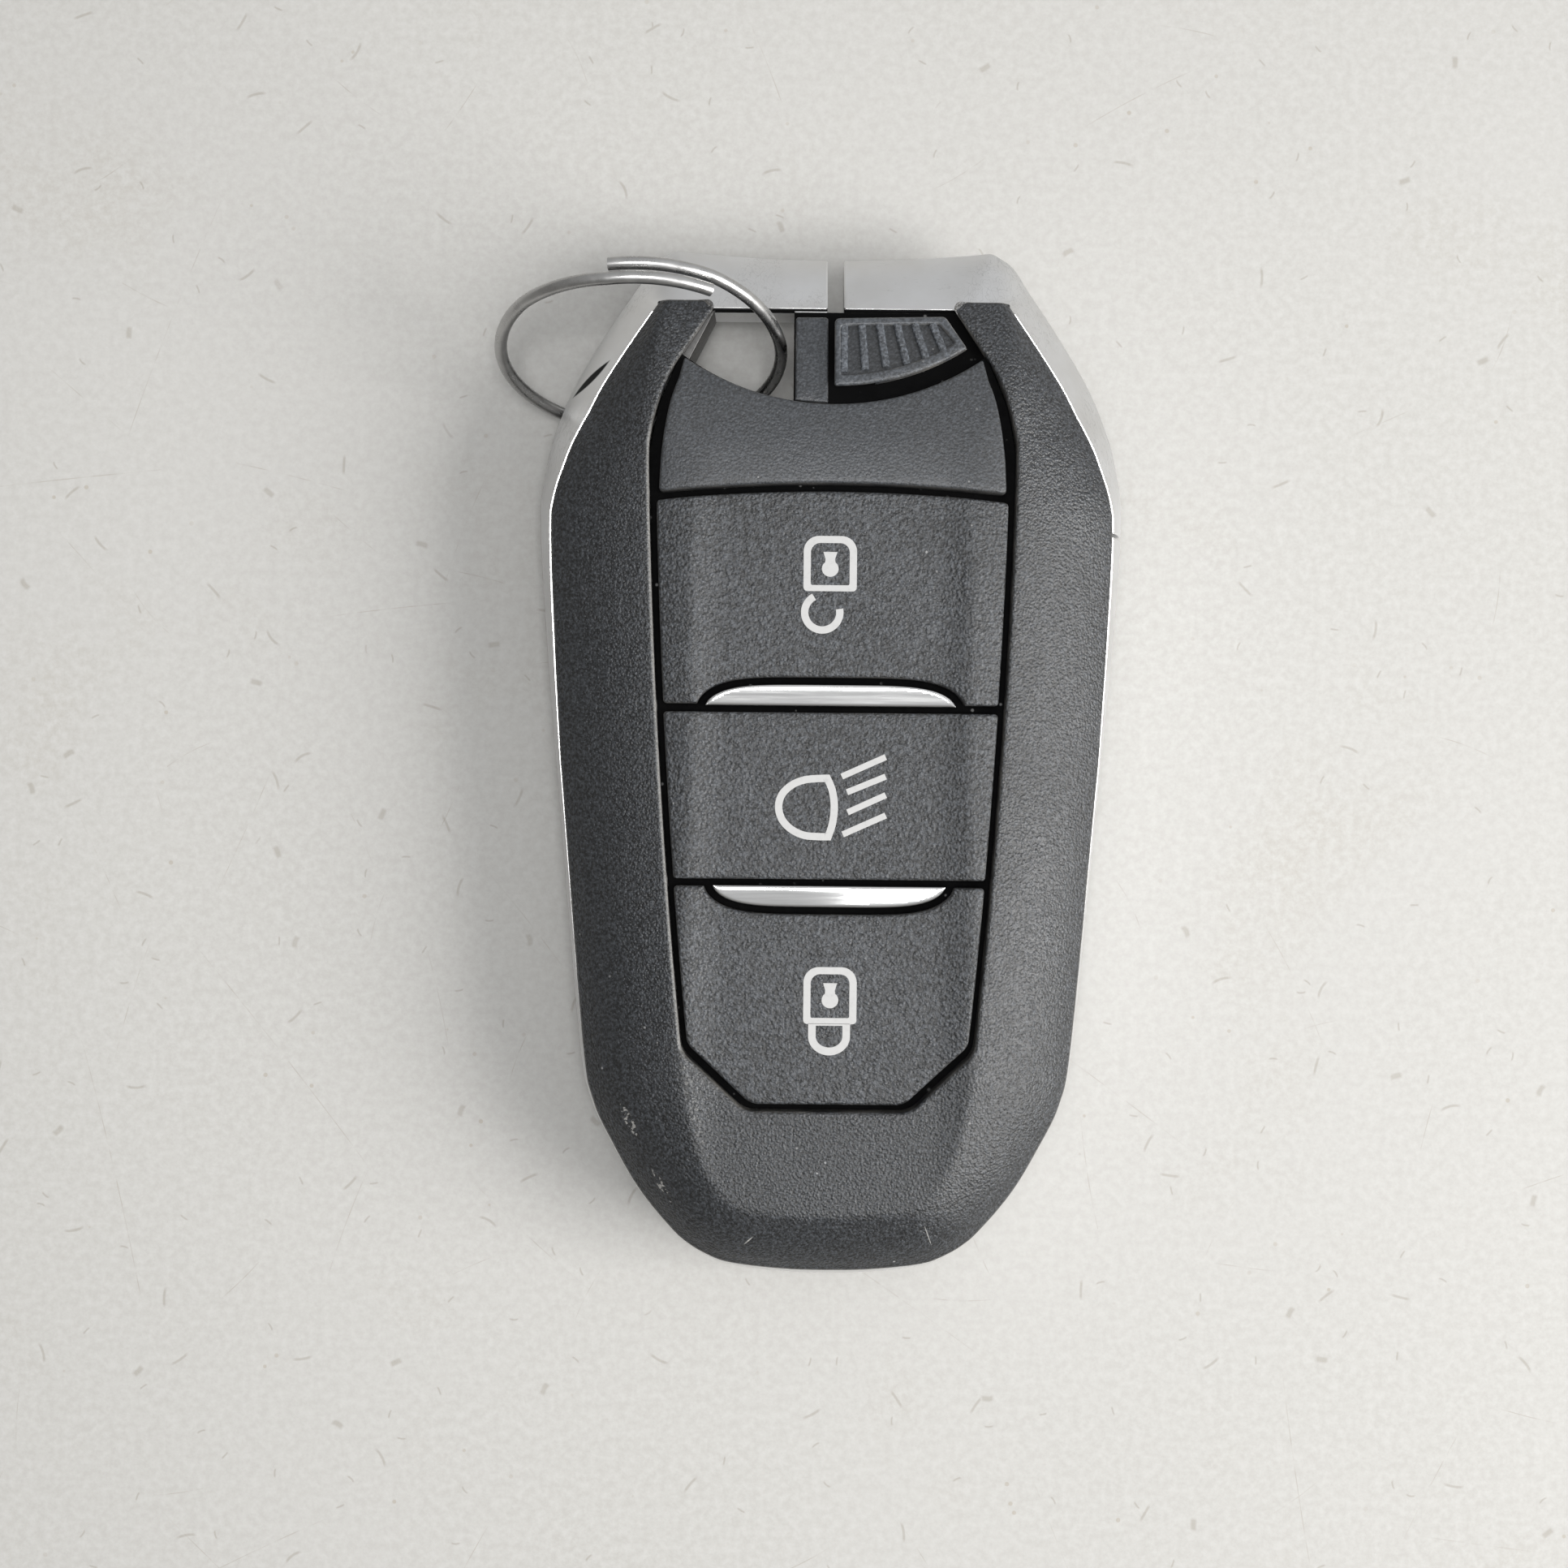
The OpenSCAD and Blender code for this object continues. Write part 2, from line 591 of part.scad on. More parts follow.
// Slider with its tooth; its underside follows the sloped floor.
module release_slider() {
    x1 = slider_x + slider_w;
    color("#202225") {
        difference() {
            intersection() {
                front_form(-slider_proud);
                slab(part_z, top_z + 1) intersection() {
                    polygon([[slider_x, slider_y1], [x1 - 2, slider_y1 + 0.3], [x1 - 1.6, slider_y1 + 0.1], [x1, slider_y1 - 2.3],
                        [x1, slider_y1 - 2 * slider_len], [slider_x, slider_y1 - 2 * slider_len]]);
                    translate([0, panel_arc_y]) circle(slider_r, $fn = 96);
                }
            }
            front_form(slider_sink);
            // Lip on the side that passes over the strip.
            intersection() {
                front_form(strip_sink - fit);
                slab(0, top_z + 1) translate([slider_x - 1, bar_y - 12]) square([slider_travel + 1.2, 14]);
            }
            // Fanned grooves of the thumb grip, between a raised rim.
            difference() {
                for (i = [0:grip_count - 1]) translate([slider_x + 1.3 + i * grip_pitch, slider_y1 - 0.5, part_z])
                    rotate([0, 0, grip_fan * (i + 0.5)]) translate([-0.34, -slider_len + 1.25 + 0.3 * i, 0]) cube([0.68, slider_len - 1.5 - 0.3 * i, 5]);
                front_form(groove_t - slider_proud);
            }
        }
        translate([stem_x0, stem_y - 1, core_z1 - 0.25]) cube([stem_w, 2, part_z + 1.3 - core_z1 + 0.25]);
    }
}

// Point on a coil along X, and a tube swept along a list of points.
function coil(u) = [spring_x0 + 0.2 + spring_wire / 2 + u * (stem_x0 - spring_x0 - 0.4 - spring_wire),
    stem_y + (spring_d - spring_wire) / 2 * cos(360 * spring_turns * u),
    spring_z + (spring_d - spring_wire) / 2 * sin(360 * spring_turns * u)];
function cross_unit(a, b) = cross(a, b) / norm(cross(a, b));
module tube(pts, r, sides, up) {
    m = len(pts) - 1;
    rings = [for (i = [0:m]) let (t = pts[min(i + 1, m)] - pts[max(i - 1, 0)], s = cross_unit(t, up(i / m)), n = cross_unit(s, t))
        for (k = [0:sides - 1]) pts[i] + r * (cos(360 * k / sides) * s + sin(360 * k / sides) * n)];
    walls = [for (i = [0:m - 1], k = [0:sides - 1]) let (a = i * sides + k, b = i * sides + (k + 1) % sides)
        each [[a, a + sides, b + sides], [a, b + sides, b]]];
    caps = [for (k = [1:sides - 2]) each [[0, k, k + 1], [m * sides, m * sides + k + 1, m * sides + k]]];
    polyhedron(points = rings, faces = concat(walls, caps));
}

module slider_spring() {
    n = spring_turns * 10;
    color("#b0b2b5") tube([for (i = [0:n]) coil(i / n)], spring_wire / 2, 6, function (u) [1, 0, 0]);
}

module rear_shell() {
    lip_d = band_t + fit;
    color("#1d1f22") difference() {
        union() {
            intersection() {
                hull() {
                    slab(0, 0.01) plan(3.6);
                    slab(1.1, 1.11) plan(1.9);
                    slab(rear_edge_h - 0.01, rear_edge_h) plan(0.6);
                }
                slab(-1, top_z) translate([-far, -far]) square([2 * far, far + rise_y + 7]);
            }
            slab(rear_edge_h - 0.5, carrier_z0 - seam) plan(lip_d, -far, board_y1);
        }
        slab(cover_t, top_z) plan(lip_d + lip_t, -far, rise_y + 0.5);
        rear_rise();
        slab(-1, cover_t / 2 + 0.05) offset_rect(cover_w + 2 * fit, cover_len + 2 * fit, 4 + fit);
        slab(-1, cover_t + 1) offset_rect(cover_w - 2 * ledge_w, cover_len - 2 * ledge_w, 3);
        eye();
    }
}

// Rectangle with round corners.
module offset_rect(w, l, r) {
    square([w - 2 * r, l], center = true);
    square([w, l - 2 * r], center = true);
    for (x = [-1, 1], y = [-1, 1]) translate([x * (w / 2 - r), y * (l / 2 - r)]) circle(r);
}

module rear_cover() {
    color("#212326") difference() {
        union() {
            slab(0, cover_t / 2) offset_rect(cover_w, cover_len, 4);
            slab(cover_t / 2 - 0.01, cover_t) offset_rect(cover_w - 2 * ledge_w - 2 * fit, cover_len - 2 * ledge_w - 2 * fit, 3);
        }
        // Coin slot for lifting the cover.
        translate([0, -cover_len / 2 + 0.2, -1]) cylinder(d = 5, h = 1.35);
    }
}

module inner_carrier() {
    color("#3a3c40") difference() {
        union() {
            slab(carrier_z0, carrier_z1) plan(band_t + fit, -far, board_y1);
            slab(cell_z0 + 0.1, carrier_z0 + 0.01) difference() {
                translate([cell_x, 0]) circle(d = cell_d + 2 * fit + 2 * well_t);
                translate([cell_x, 0]) circle(d = cell_d + 2 * fit);
            }
        }
        slab(blade_z0 - 0.3, blade_z1 + 0.2) translate([blade_x - blade_w / 2 - 0.3, -far]) square([blade_w + 0.6, 2 * far]);
        slab(0, top_z) translate([cell_x - 2.3, -cell_d / 2 - fit - well_t - 1]) square([4.6, well_t + 1.4]);
    }
}

module circuit_board() {
    color("#1f5a3c") slab(board_z0, board_z1) difference() {
        plan(band_t + 0.5, -far, board_y1);
        for (s = [-1, 1]) translate([s * (half_w - 7), board_y1 - 4]) circle(d = 2.2);
    }
}

module keypad_mat() {
    color("#4a4c50") slab(mat_z0, mat_z1) difference() {
        keypad_room(0.4);
        stem_holes(stem_d + 2 * 0.3);
    }
}

module switch_bodies() {
    color("#cfd0cc") for (y = [unlock_y, light_y, lock_y]) translate([0, y, 0]) difference() {
        slab(switch_z0, switch_z1) square(switch_w, center = true);
        translate([0, 0, switch_z0 + 0.25]) cylinder(d = plunger_d + 0.3, h = switch_h);
    }
}

module plunger(y) {
    translate([0, y, switch_z0 + 0.3 + press_travel]) cylinder(d = plunger_d, h = plunger_z1 - switch_z0 - 0.3 - press_travel, $fn = 32);
}

module unlock_plunger() {
    color("#8a3b32") plunger(unlock_y);
}

module light_plunger() {
    color("#8a3b32") plunger(light_y);
}

module lock_plunger() {
    color("#8a3b32") plunger(lock_y);
}

// Coin cell with the smaller cap towards the board.
module coin_cell() {
    color("#c9cbce") translate([cell_x, 0, cell_z0]) rotate_extrude() polygon([[0, 0], [cell_d / 2 - 0.3, 0], [cell_d / 2, 0.3],
        [cell_d / 2, cell_h - 0.7], [cell_d / 2 - 0.5, cell_h - 0.4], [cell_d / 2 - 1.2, cell_h - 0.4], [cell_d / 2 - 1.4, cell_h], [0, cell_h]]);
}

module positive_contact() {
    color("#c9b068") translate([cell_x - 2, -cell_d / 2 - 0.08 - strip_t, cell_z0 + 0.4]) cube([4, strip_t, board_z0 - cell_z0 - 0.5]);
}

module negative_contact() {
    color("#c9b068") translate([cell_x, 2, 0]) rotate([90, 0, 0]) linear_extrude(4) polygon([[-5, carrier_z0 - 0.05], [-1, carrier_z0 - 0.05],
        [3, cell_z1 + 0.05 + strip_t], [5, cell_z1 + 0.05 + strip_t], [5, cell_z1 + 0.05], [2.9, cell_z1 + 0.05],
        [-1.1, carrier_z0 - 0.05 - strip_t], [-5, carrier_z0 - 0.05 - strip_t]]);
}

coil_y = window_y0 - 2.4;
module antenna_core() {
    color("#3b3b3e") translate([-4.5, coil_y - 1, switch_z0 + 0.3]) cube([9, 2, 0.9]);
}

module antenna_winding() {
    color("#b5713a") difference() {
        translate([-3.2, coil_y - 1.35, switch_z0]) cube([6.4, 2.7, 1.5]);
        translate([-4, coil_y - 1.05, switch_z0 + 0.25]) cube([8, 2.1, 1]);
    }
}

module control_chip() {
    color("#17181a") translate([-8, light_y1 - 1, switch_z0]) cube([5, 5, 0.9]);
}

module crystal() {
    color("#bfc1c4") translate([4, light_y1, switch_z0]) cube([3.2, 2.5, 0.8]);
}

// One wire, a little over a turn, whose ends lap side by side.
ring_side = [0, -sin(ring_lean), cos(ring_lean)];
lap_u = ring_lap / (360 + ring_lap);
// Share of the lap's offset along the wire: the ring is flat but for its two ends.
lap_side = [[0, 1], [lap_u, 1], [2 * lap_u, 0], [1 - 2 * lap_u, 0], [1 - lap_u, -1], [1, -1]];
function wire(u) = let (a = lap_at - ring_lap / 2 + u * (360 + ring_lap), side = (wire_d + lap_gap) / 2 * lookup(u, lap_side))
    [ring_x, ring_y, ring_z] + ring_r * [cos(a), sin(a) * cos(ring_lean), sin(a) * sin(ring_lean)] + side * ring_side;
ring_steps = 64;
wire_pts = [for (i = [0:ring_steps]) wire(i / ring_steps)];
ring_gap = min([for (i = [0:ring_steps], k = [0:ring_steps]) if (abs(i - k) > ring_steps / 2) norm(wire_pts[i] - wire_pts[k])]) - wire_d;
echo(least_gap_of_ring_to_itself = ring_gap);

module key_ring() {
    color("#b4b6b6") tube(wire_pts, wire_d / 2, 8, function (u) ring_side);
}

front_frame();
front_panel();
unlock_button();
light_button();
lock_button();
upper_trim_bar();
lower_trim_bar();
bezel();
key_head();
key_core();
key_blade();
blade_pin();
release_slider();
slider_spring();
rear_shell();
rear_cover();
inner_carrier();
circuit_board();
keypad_mat();
switch_bodies();
unlock_plunger();
light_plunger();
lock_plunger();
coin_cell();
positive_contact();
negative_contact();
antenna_core();
antenna_winding();
control_chip();
crystal();
key_ring();
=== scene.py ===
"""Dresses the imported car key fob: grained black case, satin band, bright bars, printed marks, wire ring."""
import bpy
import json
import math
import numpy as np
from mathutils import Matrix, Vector
from mathutils.geometry import delaunay_2d_cdt

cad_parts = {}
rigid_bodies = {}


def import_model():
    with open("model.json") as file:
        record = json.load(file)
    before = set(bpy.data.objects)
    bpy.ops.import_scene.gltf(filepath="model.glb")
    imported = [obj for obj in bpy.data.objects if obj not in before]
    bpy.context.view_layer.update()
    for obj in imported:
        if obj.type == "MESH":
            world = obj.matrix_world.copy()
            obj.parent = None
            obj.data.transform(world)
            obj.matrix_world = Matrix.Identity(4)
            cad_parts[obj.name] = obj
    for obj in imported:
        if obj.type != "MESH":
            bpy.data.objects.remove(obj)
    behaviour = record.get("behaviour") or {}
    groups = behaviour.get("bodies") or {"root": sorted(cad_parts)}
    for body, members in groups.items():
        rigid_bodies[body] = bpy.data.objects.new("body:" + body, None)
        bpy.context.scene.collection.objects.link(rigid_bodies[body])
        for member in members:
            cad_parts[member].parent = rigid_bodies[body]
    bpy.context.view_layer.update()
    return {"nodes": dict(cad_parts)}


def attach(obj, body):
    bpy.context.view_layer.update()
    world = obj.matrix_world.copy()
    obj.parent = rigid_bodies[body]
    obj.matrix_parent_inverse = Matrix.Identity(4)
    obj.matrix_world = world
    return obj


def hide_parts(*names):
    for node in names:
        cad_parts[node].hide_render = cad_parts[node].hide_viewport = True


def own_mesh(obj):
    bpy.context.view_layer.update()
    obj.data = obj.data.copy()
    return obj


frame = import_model()
MM = 0.001

# Driving sizes of the case, in millimetres, as in the part's source.
BODY_LEN, BODY_W, RING_END = 78.0, 44.3, 38.9
HALF_W, FRONT_Y = BODY_W / 2, RING_END - BODY_LEN
BAND_Z0, WIDEST_Z, PART_Z = 3.7, 6.4, 10.0
WEB_Z, CAP_Z0, FACE_Z, TOP_Z = 12.25, 13.0, 14.55, 14.95
BAR_Y, ARC_R = RING_END - 5.2, 19.3
ARC_Y, PART_Y1 = BAR_Y + 12.1, BAR_Y + 0.3
HEAD_Y, SLOT_X, HEAD_X, EYE_X = RING_END - 21.8, -0.45, 0.80, -2.95
RISE_Y, RISE_RUN, REAR_H, END_RISE = RING_END - 20.0, 8.5, 3.6, 1.6
FACE_W, CREST, DISH = 27.3, 10.2, 8.7
WINDOW_Y1 = BAR_Y - 11.7
UNLOCK_TOP, UNLOCK_Y0, LIGHT_Y1, LIGHT_Y0, LOCK_Y1, LOCK_Y0 = 19.75, 4.1, 3.4, -8.75, -9.45, -25.45
WINDOW_Y0, LOCK_CORNER = LOCK_Y0 - 0.55, 4.4
BAR_T, UPPER_BAR_W, LOWER_BAR_W = 1.6, 18.5, 17.2
UPPER_BAR_Y, LOWER_BAR_Y = LIGHT_Y1 + 0.55, LIGHT_Y0 - 0.55
BOW_R = ((FACE_W / 2) ** 2 + 0.64) / 1.6

# Half outline at the widest line: share of the half width, distance from the end.
SHOULDER = [(0, 0), (0.3, 0), (0.515, 0), (0.58, 0.5), (0.625, 1.3), (0.672, 2.9), (0.763, 5.9), (0.87, 9.8),
            (0.935, 13), (0.975, 16), (1, 20.4)]
FLANK = [(0.976, 0.23), (0.921, 0.58)]
NOSE = [(0.85, 17.75), (0.812, 13.35), (0.745, 10.15), (0.643, 6.35), (0.506, 2.85), (0.406, 1.25),
        (0.316, 0.55), (0.145, 0.09), (0, 0)]

# Room that a button leaves round a trim bar, the radius of its corners there, and the foot of its stem.
NOTCH_W, NOTCH_T, NOTCH_R, STEM_Z0 = 1.32, 0.55, 0.12, 11.35

# Step in from the widest line to the rear shell's edge, the rear cover, and the inner end of the eye's block.
RIM_IN = 0.6
COVER_W, COVER_L = 25, 36
BLOCK_Y0 = 25.0


# Outlines

def spline(points, n):
    """Smooth curve through the points, n steps from one to the next."""
    p = np.array(points, float)
    last = len(p) - 1
    out = []
    for i in range(last):
        a, b, c, d = p[max(i - 1, 0)], p[i], p[i + 1], p[min(i + 2, last)]
        for k in range(n):
            t = k / n
            out.append(0.5 * (2 * b + (c - a) * t + (2 * a - 5 * b + 4 * c - d) * t * t
                              + (3 * b - a - 3 * c + d) * t ** 3))
    out.append(p[last])
    return np.array(out)


def even(points, step, closed=False):
    """The same line with points an even step apart."""
    p = np.array(points, float)
    if closed:
        p = np.vstack([p, p[:1]])
    run = np.concatenate([[0], np.cumsum(np.linalg.norm(np.diff(p, axis=0), axis=1))])
    n = max(int(round(run[-1] / step)), 3)
    at = np.linspace(0, run[-1], n + 1)
    out = np.stack([np.interp(at, run, p[:, k]) for k in range(p.shape[1])], axis=1)
    return out[:-1] if closed else out


def rounded(corners, step=0.25):
    """Closed outline from (x, y, radius) corners, with arcs at the corners and even points between."""
    out = []
    n = len(corners)
    for i in range(n):
        p = np.array(corners[i][:2], float)
        a = np.array(corners[i - 1][:2], float) - p
        b = np.array(corners[(i + 1) % n][:2], float) - p
        la, lb = np.linalg.norm(a), np.linalg.norm(b)
        a, b = a / la, b / lb
        r = corners[i][2]
        half = math.acos(max(-1, min(1, float(a @ b)))) / 2
        if r <= 0 or half > 1.55:
            out.append(p)
            continue
        cut = min(r / math.tan(half), 0.48 * la, 0.48 * lb)
        r = cut * math.tan(half)
        mid = p + (a + b) / np.linalg.norm(a + b) * (r / math.sin(half))
        s, e = p + a * cut - mid, p + b * cut - mid
        turn = math.atan2(s[0] * e[1] - s[1] * e[0], float(s @ e))
        k = max(3, int(abs(turn) * r / (step * 0.6)) + 2)
        for j in range(k + 1):
            c, d = math.cos(turn * j / k), math.sin(turn * j / k)
            out.append(mid + [s[0] * c - s[1] * d, s[0] * d + s[1] * c])
    full = []
    for i in range(len(out)):
        p, q = out[i], out[(i + 1) % len(out)]
        k = max(1, int(np.linalg.norm(q - p) / step))
        full += [p + (q - p) * j / k for j in range(k)]
    return np.array(full)


def corners(points, first=0, last=0):
    """Points as corners of an outline, all sharp but for the first and the last."""
    out = [(x, y, 0) for x, y in points]
    out[0] = (*out[0][:2], first)
    out[-1] = (*out[-1][:2], last)
    return out


def far_side(half):
    """Corners of the right half again on the left, from the last to the first."""
    return [(-x, y, r) for x, y, r in half[::-1] if x > 0.01]


def area(p):
    x, y = p[:, 0], p[:, 1]
    return 0.5 * float(np.sum(x * np.roll(y, -1) - np.roll(x, -1) * y))


def anticlockwise(p):
    return p if area(p) > 0 else p[::-1]


def unit(v):
    """The same directions, each with a length of 1."""
    return v / np.maximum(np.linalg.norm(v, axis=1, keepdims=True), 1e-9)


def left_of(v):
    """Directions in the plan turned a quarter to the left."""
    return np.stack([-v[:, 1], v[:, 0]], axis=1)


def inward(p):
    """Inward direction at each point of an anticlockwise outline, longer at sharp corners."""
    side = left_of(unit(np.roll(p, -1, axis=0) - p))
    n = unit(np.roll(side, 1, axis=0) + side)
    return n / np.maximum(np.sum(n * side, axis=1, keepdims=True), 0.5)


def inside(points, poly):
    """Which points lie in the outline."""
    x, y = points[:, 0][:, None], points[:, 1][:, None]
    a, b = poly, np.roll(poly, -1, axis=0)
    cross = (a[:, 1] > y) != (b[:, 1] > y)
    slope = (b[:, 0] - a[:, 0]) / np.where(np.abs(b[:, 1] - a[:, 1]) < 1e-12, 1e-12, b[:, 1] - a[:, 1])
    return np.sum(cross & (x < a[:, 0] + (y - a[:, 1]) * slope), axis=1) % 2 == 1


def line_distance(points, line):
    """Distance from each point to an open line."""
    a, d = line[:-1], np.diff(line, axis=0)
    dd = np.maximum(np.sum(d * d, axis=1), 1e-12)
    out = np.empty(len(points))
    for i in range(0, len(points), 4000):
        p = points[i:i + 4000, None, :]
        t = np.clip(np.sum((p - a) * d, axis=2) / dd, 0, 1)
        out[i:i + 4000] = np.sqrt(np.min(np.sum((p - a - t[..., None] * d) ** 2, axis=2), axis=1))
    return out


shoulder_y, nose_y = RING_END - SHOULDER[-1][1], FRONT_Y + NOSE[0][1]
stations = ([(s * HALF_W, RING_END - d) for s, d in SHOULDER]
            + [(s * HALF_W, shoulder_y - f * (shoulder_y - nose_y)) for s, f in FLANK]
            + [(s * HALF_W, FRONT_Y + d) for s, d in NOSE])
rim = even(spline(stations, 12), 0.3)
outward = left_of(unit(np.gradient(rim, axis=0)))
upper_in = np.interp(rim[:, 1],
                     [FRONT_Y, FRONT_Y + 3, FRONT_Y + 14, 0, 16, shoulder_y, RING_END - 12, RING_END - 5],
                     [0.85, 0.5, 0.5, 0.62, 1.02, 1.08, 2.25, 2.45])
upper_rim = rim - outward * upper_in[:, None]
upper_rim = upper_rim[upper_rim[:, 1] < RING_END - 2.6]
upper_rim[-1, 0] = 0
crest_line = np.vstack([[upper_rim[0] + (upper_rim[0] - upper_rim[6]) * 6], upper_rim])


def folded(p):
    """Places on the left carried over to the right."""
    return np.column_stack([np.abs(p[:, 0]), p[:, 1]])


def window_x(y):
    """Half width of the window in the front frame."""
    s = max(WINDOW_Y1 - y, 0)
    return FACE_W / 2 - 0.0237 * s - 0.00095 * s * s


def flank_points(y1, y0, gap):
    """Six points down the right side of the window, in from it by the gap."""
    return [(window_x(y) - gap, y) for y in np.linspace(y1, y0, 6)]


# The front face

def soft_min(a, b, k):
    """The lesser of two heights, with a soft fold where they cross."""
    h = np.clip(0.5 + 0.5 * (b - a) / k, 0, 1)
    return b + (a - b) * h - k * h * (1 - h)


def face_height(points):
    """Height of the front face: rails, crest lines, the dish between them and the fall to the ring end."""
    ax, y = np.abs(points[:, 0]), points[:, 1]
    crest = np.interp(y, [FRONT_Y + 5.4, FRONT_Y + 8.4, FRONT_Y + 18], [CREST - 4.8, CREST - 2.4, CREST])
    reach = np.interp(y, [FRONT_Y + 5.5, FRONT_Y + 8.4, FRONT_Y + 13, FRONT_Y + 18, -10, 0, 18, 25, 30, 34],
                      [5.4, 5.8, 6.6, 7.4, 8.6, 10.0, 10.9, 8.9, 6.6, 4.2])
    s = line_distance(folded(points), crest_line) / reach
    rise = np.interp(s, [0, 0.03, 0.07, 0.147, 0.22, 0.3, 0.38, 0.477, 0.6, 0.75, 1, 2],
                     [0, 0.075, 0.15, 0.275, 0.375, 0.47, 0.56, 0.652, 0.75, 0.848, 1.0, 1.62])
    rail = PART_Z + 0.6 + (TOP_Z + 0.05 - PART_Z - 0.6) * rise
    wall = FACE_Z + (ax - DISH) * (TOP_Z - FACE_Z) / (CREST - DISH) * np.interp(crest, [6, CREST], [0.6, 1])
    dish = -soft_min(-wall, -np.full_like(wall, FACE_Z), 0.25)
    z = soft_min(rail, dish, 0.14)
    fall = TOP_Z + 0.1 - 0.0078 * np.maximum(y - RING_END + 26, 0) ** 2
    return soft_min(z, fall, 0.5)


# Meshes

def placed(name, data):
    """A new object in the scene, at the origin."""
    obj = bpy.data.objects.new(name, data)
    bpy.context.scene.collection.objects.link(obj)
    return obj


def smoothed(mesh, sharp):
    """Smooth faces, but for edges that turn by more than the sharp angle."""
    mesh.polygons.foreach_set("use_smooth", np.ones(len(mesh.polygons), bool))
    mesh.set_sharp_from_angle(angle=math.radians(sharp))


def new_mesh(name, verts, faces, mats, face_mats=None, sharp=38, rim_values=None):
    """Object at the origin from points in millimetres."""
    mesh = bpy.data.meshes.new(name)
    mesh.from_pydata([tuple(v) for v in np.asarray(verts, float) * MM], [], [tuple(f) for f in faces])
    for m in mats:
        mesh.materials.append(m)
    if face_mats is not None:
        mesh.polygons.foreach_set("material_index", np.asarray(face_mats, np.int32))
    mesh.validate()
    smoothed(mesh, sharp)
    if rim_values is not None:
        layer = mesh.attributes.new("rim", "FLOAT", "POINT")
        layer.data.foreach_set("value", np.asarray(rim_values, np.float32))
    return placed(name, mesh)


def fill(loops, extra):
    """Triangles between closed loops, through extra points; the first loop is the outer one."""
    pts = np.vstack(list(loops) + [extra]) if len(extra) else np.vstack(list(loops))
    edges, at = [], 0
    for loop in loops:
        n = len(loop)
        edges += [(at + i, at + (i + 1) % n) for i in range(n)]
        at += n
    verts, _, faces, orig, _, _ = delaunay_2d_cdt([Vector(p) for p in pts], edges, [], 1, 1e-6)
    verts = np.array([v[:2] for v in verts])
    faces = np.array(faces)
    mid = verts[faces].mean(axis=1)
    keep = np.ones(len(faces), bool)
    for loop in loops[1:]:
        keep &= ~inside(mid, loop)
    faces = faces[keep]
    v = verts[faces]
    ab, ac = v[:, 1] - v[:, 0], v[:, 2] - v[:, 0]
    turn = ab[:, 0] * ac[:, 1] - ab[:, 1] * ac[:, 0]
    faces[turn < 0] = faces[turn < 0][:, ::-1]
    new = [i for i, o in enumerate(orig) if not o]
    index = np.array([o[0] if o else -1 for o in orig])
    index[new] = np.arange(len(pts), len(pts) + len(new))
    return verts[new].reshape(-1, 2), index[faces]


def soft_radius(loop, r):
    """Edge radius at each point of an outline, smaller round its tight corners."""
    a, b = loop - np.roll(loop, 1, axis=0), np.roll(loop, -1, axis=0) - loop
    size = 0.5 * (np.linalg.norm(a, axis=1) + np.linalg.norm(b, axis=1))
    turn = np.arctan2(a[:, 0] * b[:, 1] - a[:, 1] * b[:, 0], np.sum(a * b, axis=1))
    out = np.minimum(r, np.where(turn > 0.03, 0.75 * size / np.maximum(turn, 0.03), r))
    for _ in range(8):
        out = np.minimum(out, np.minimum(np.roll(out, 1), np.roll(out, -1)) + 0.3 * size)
    return out


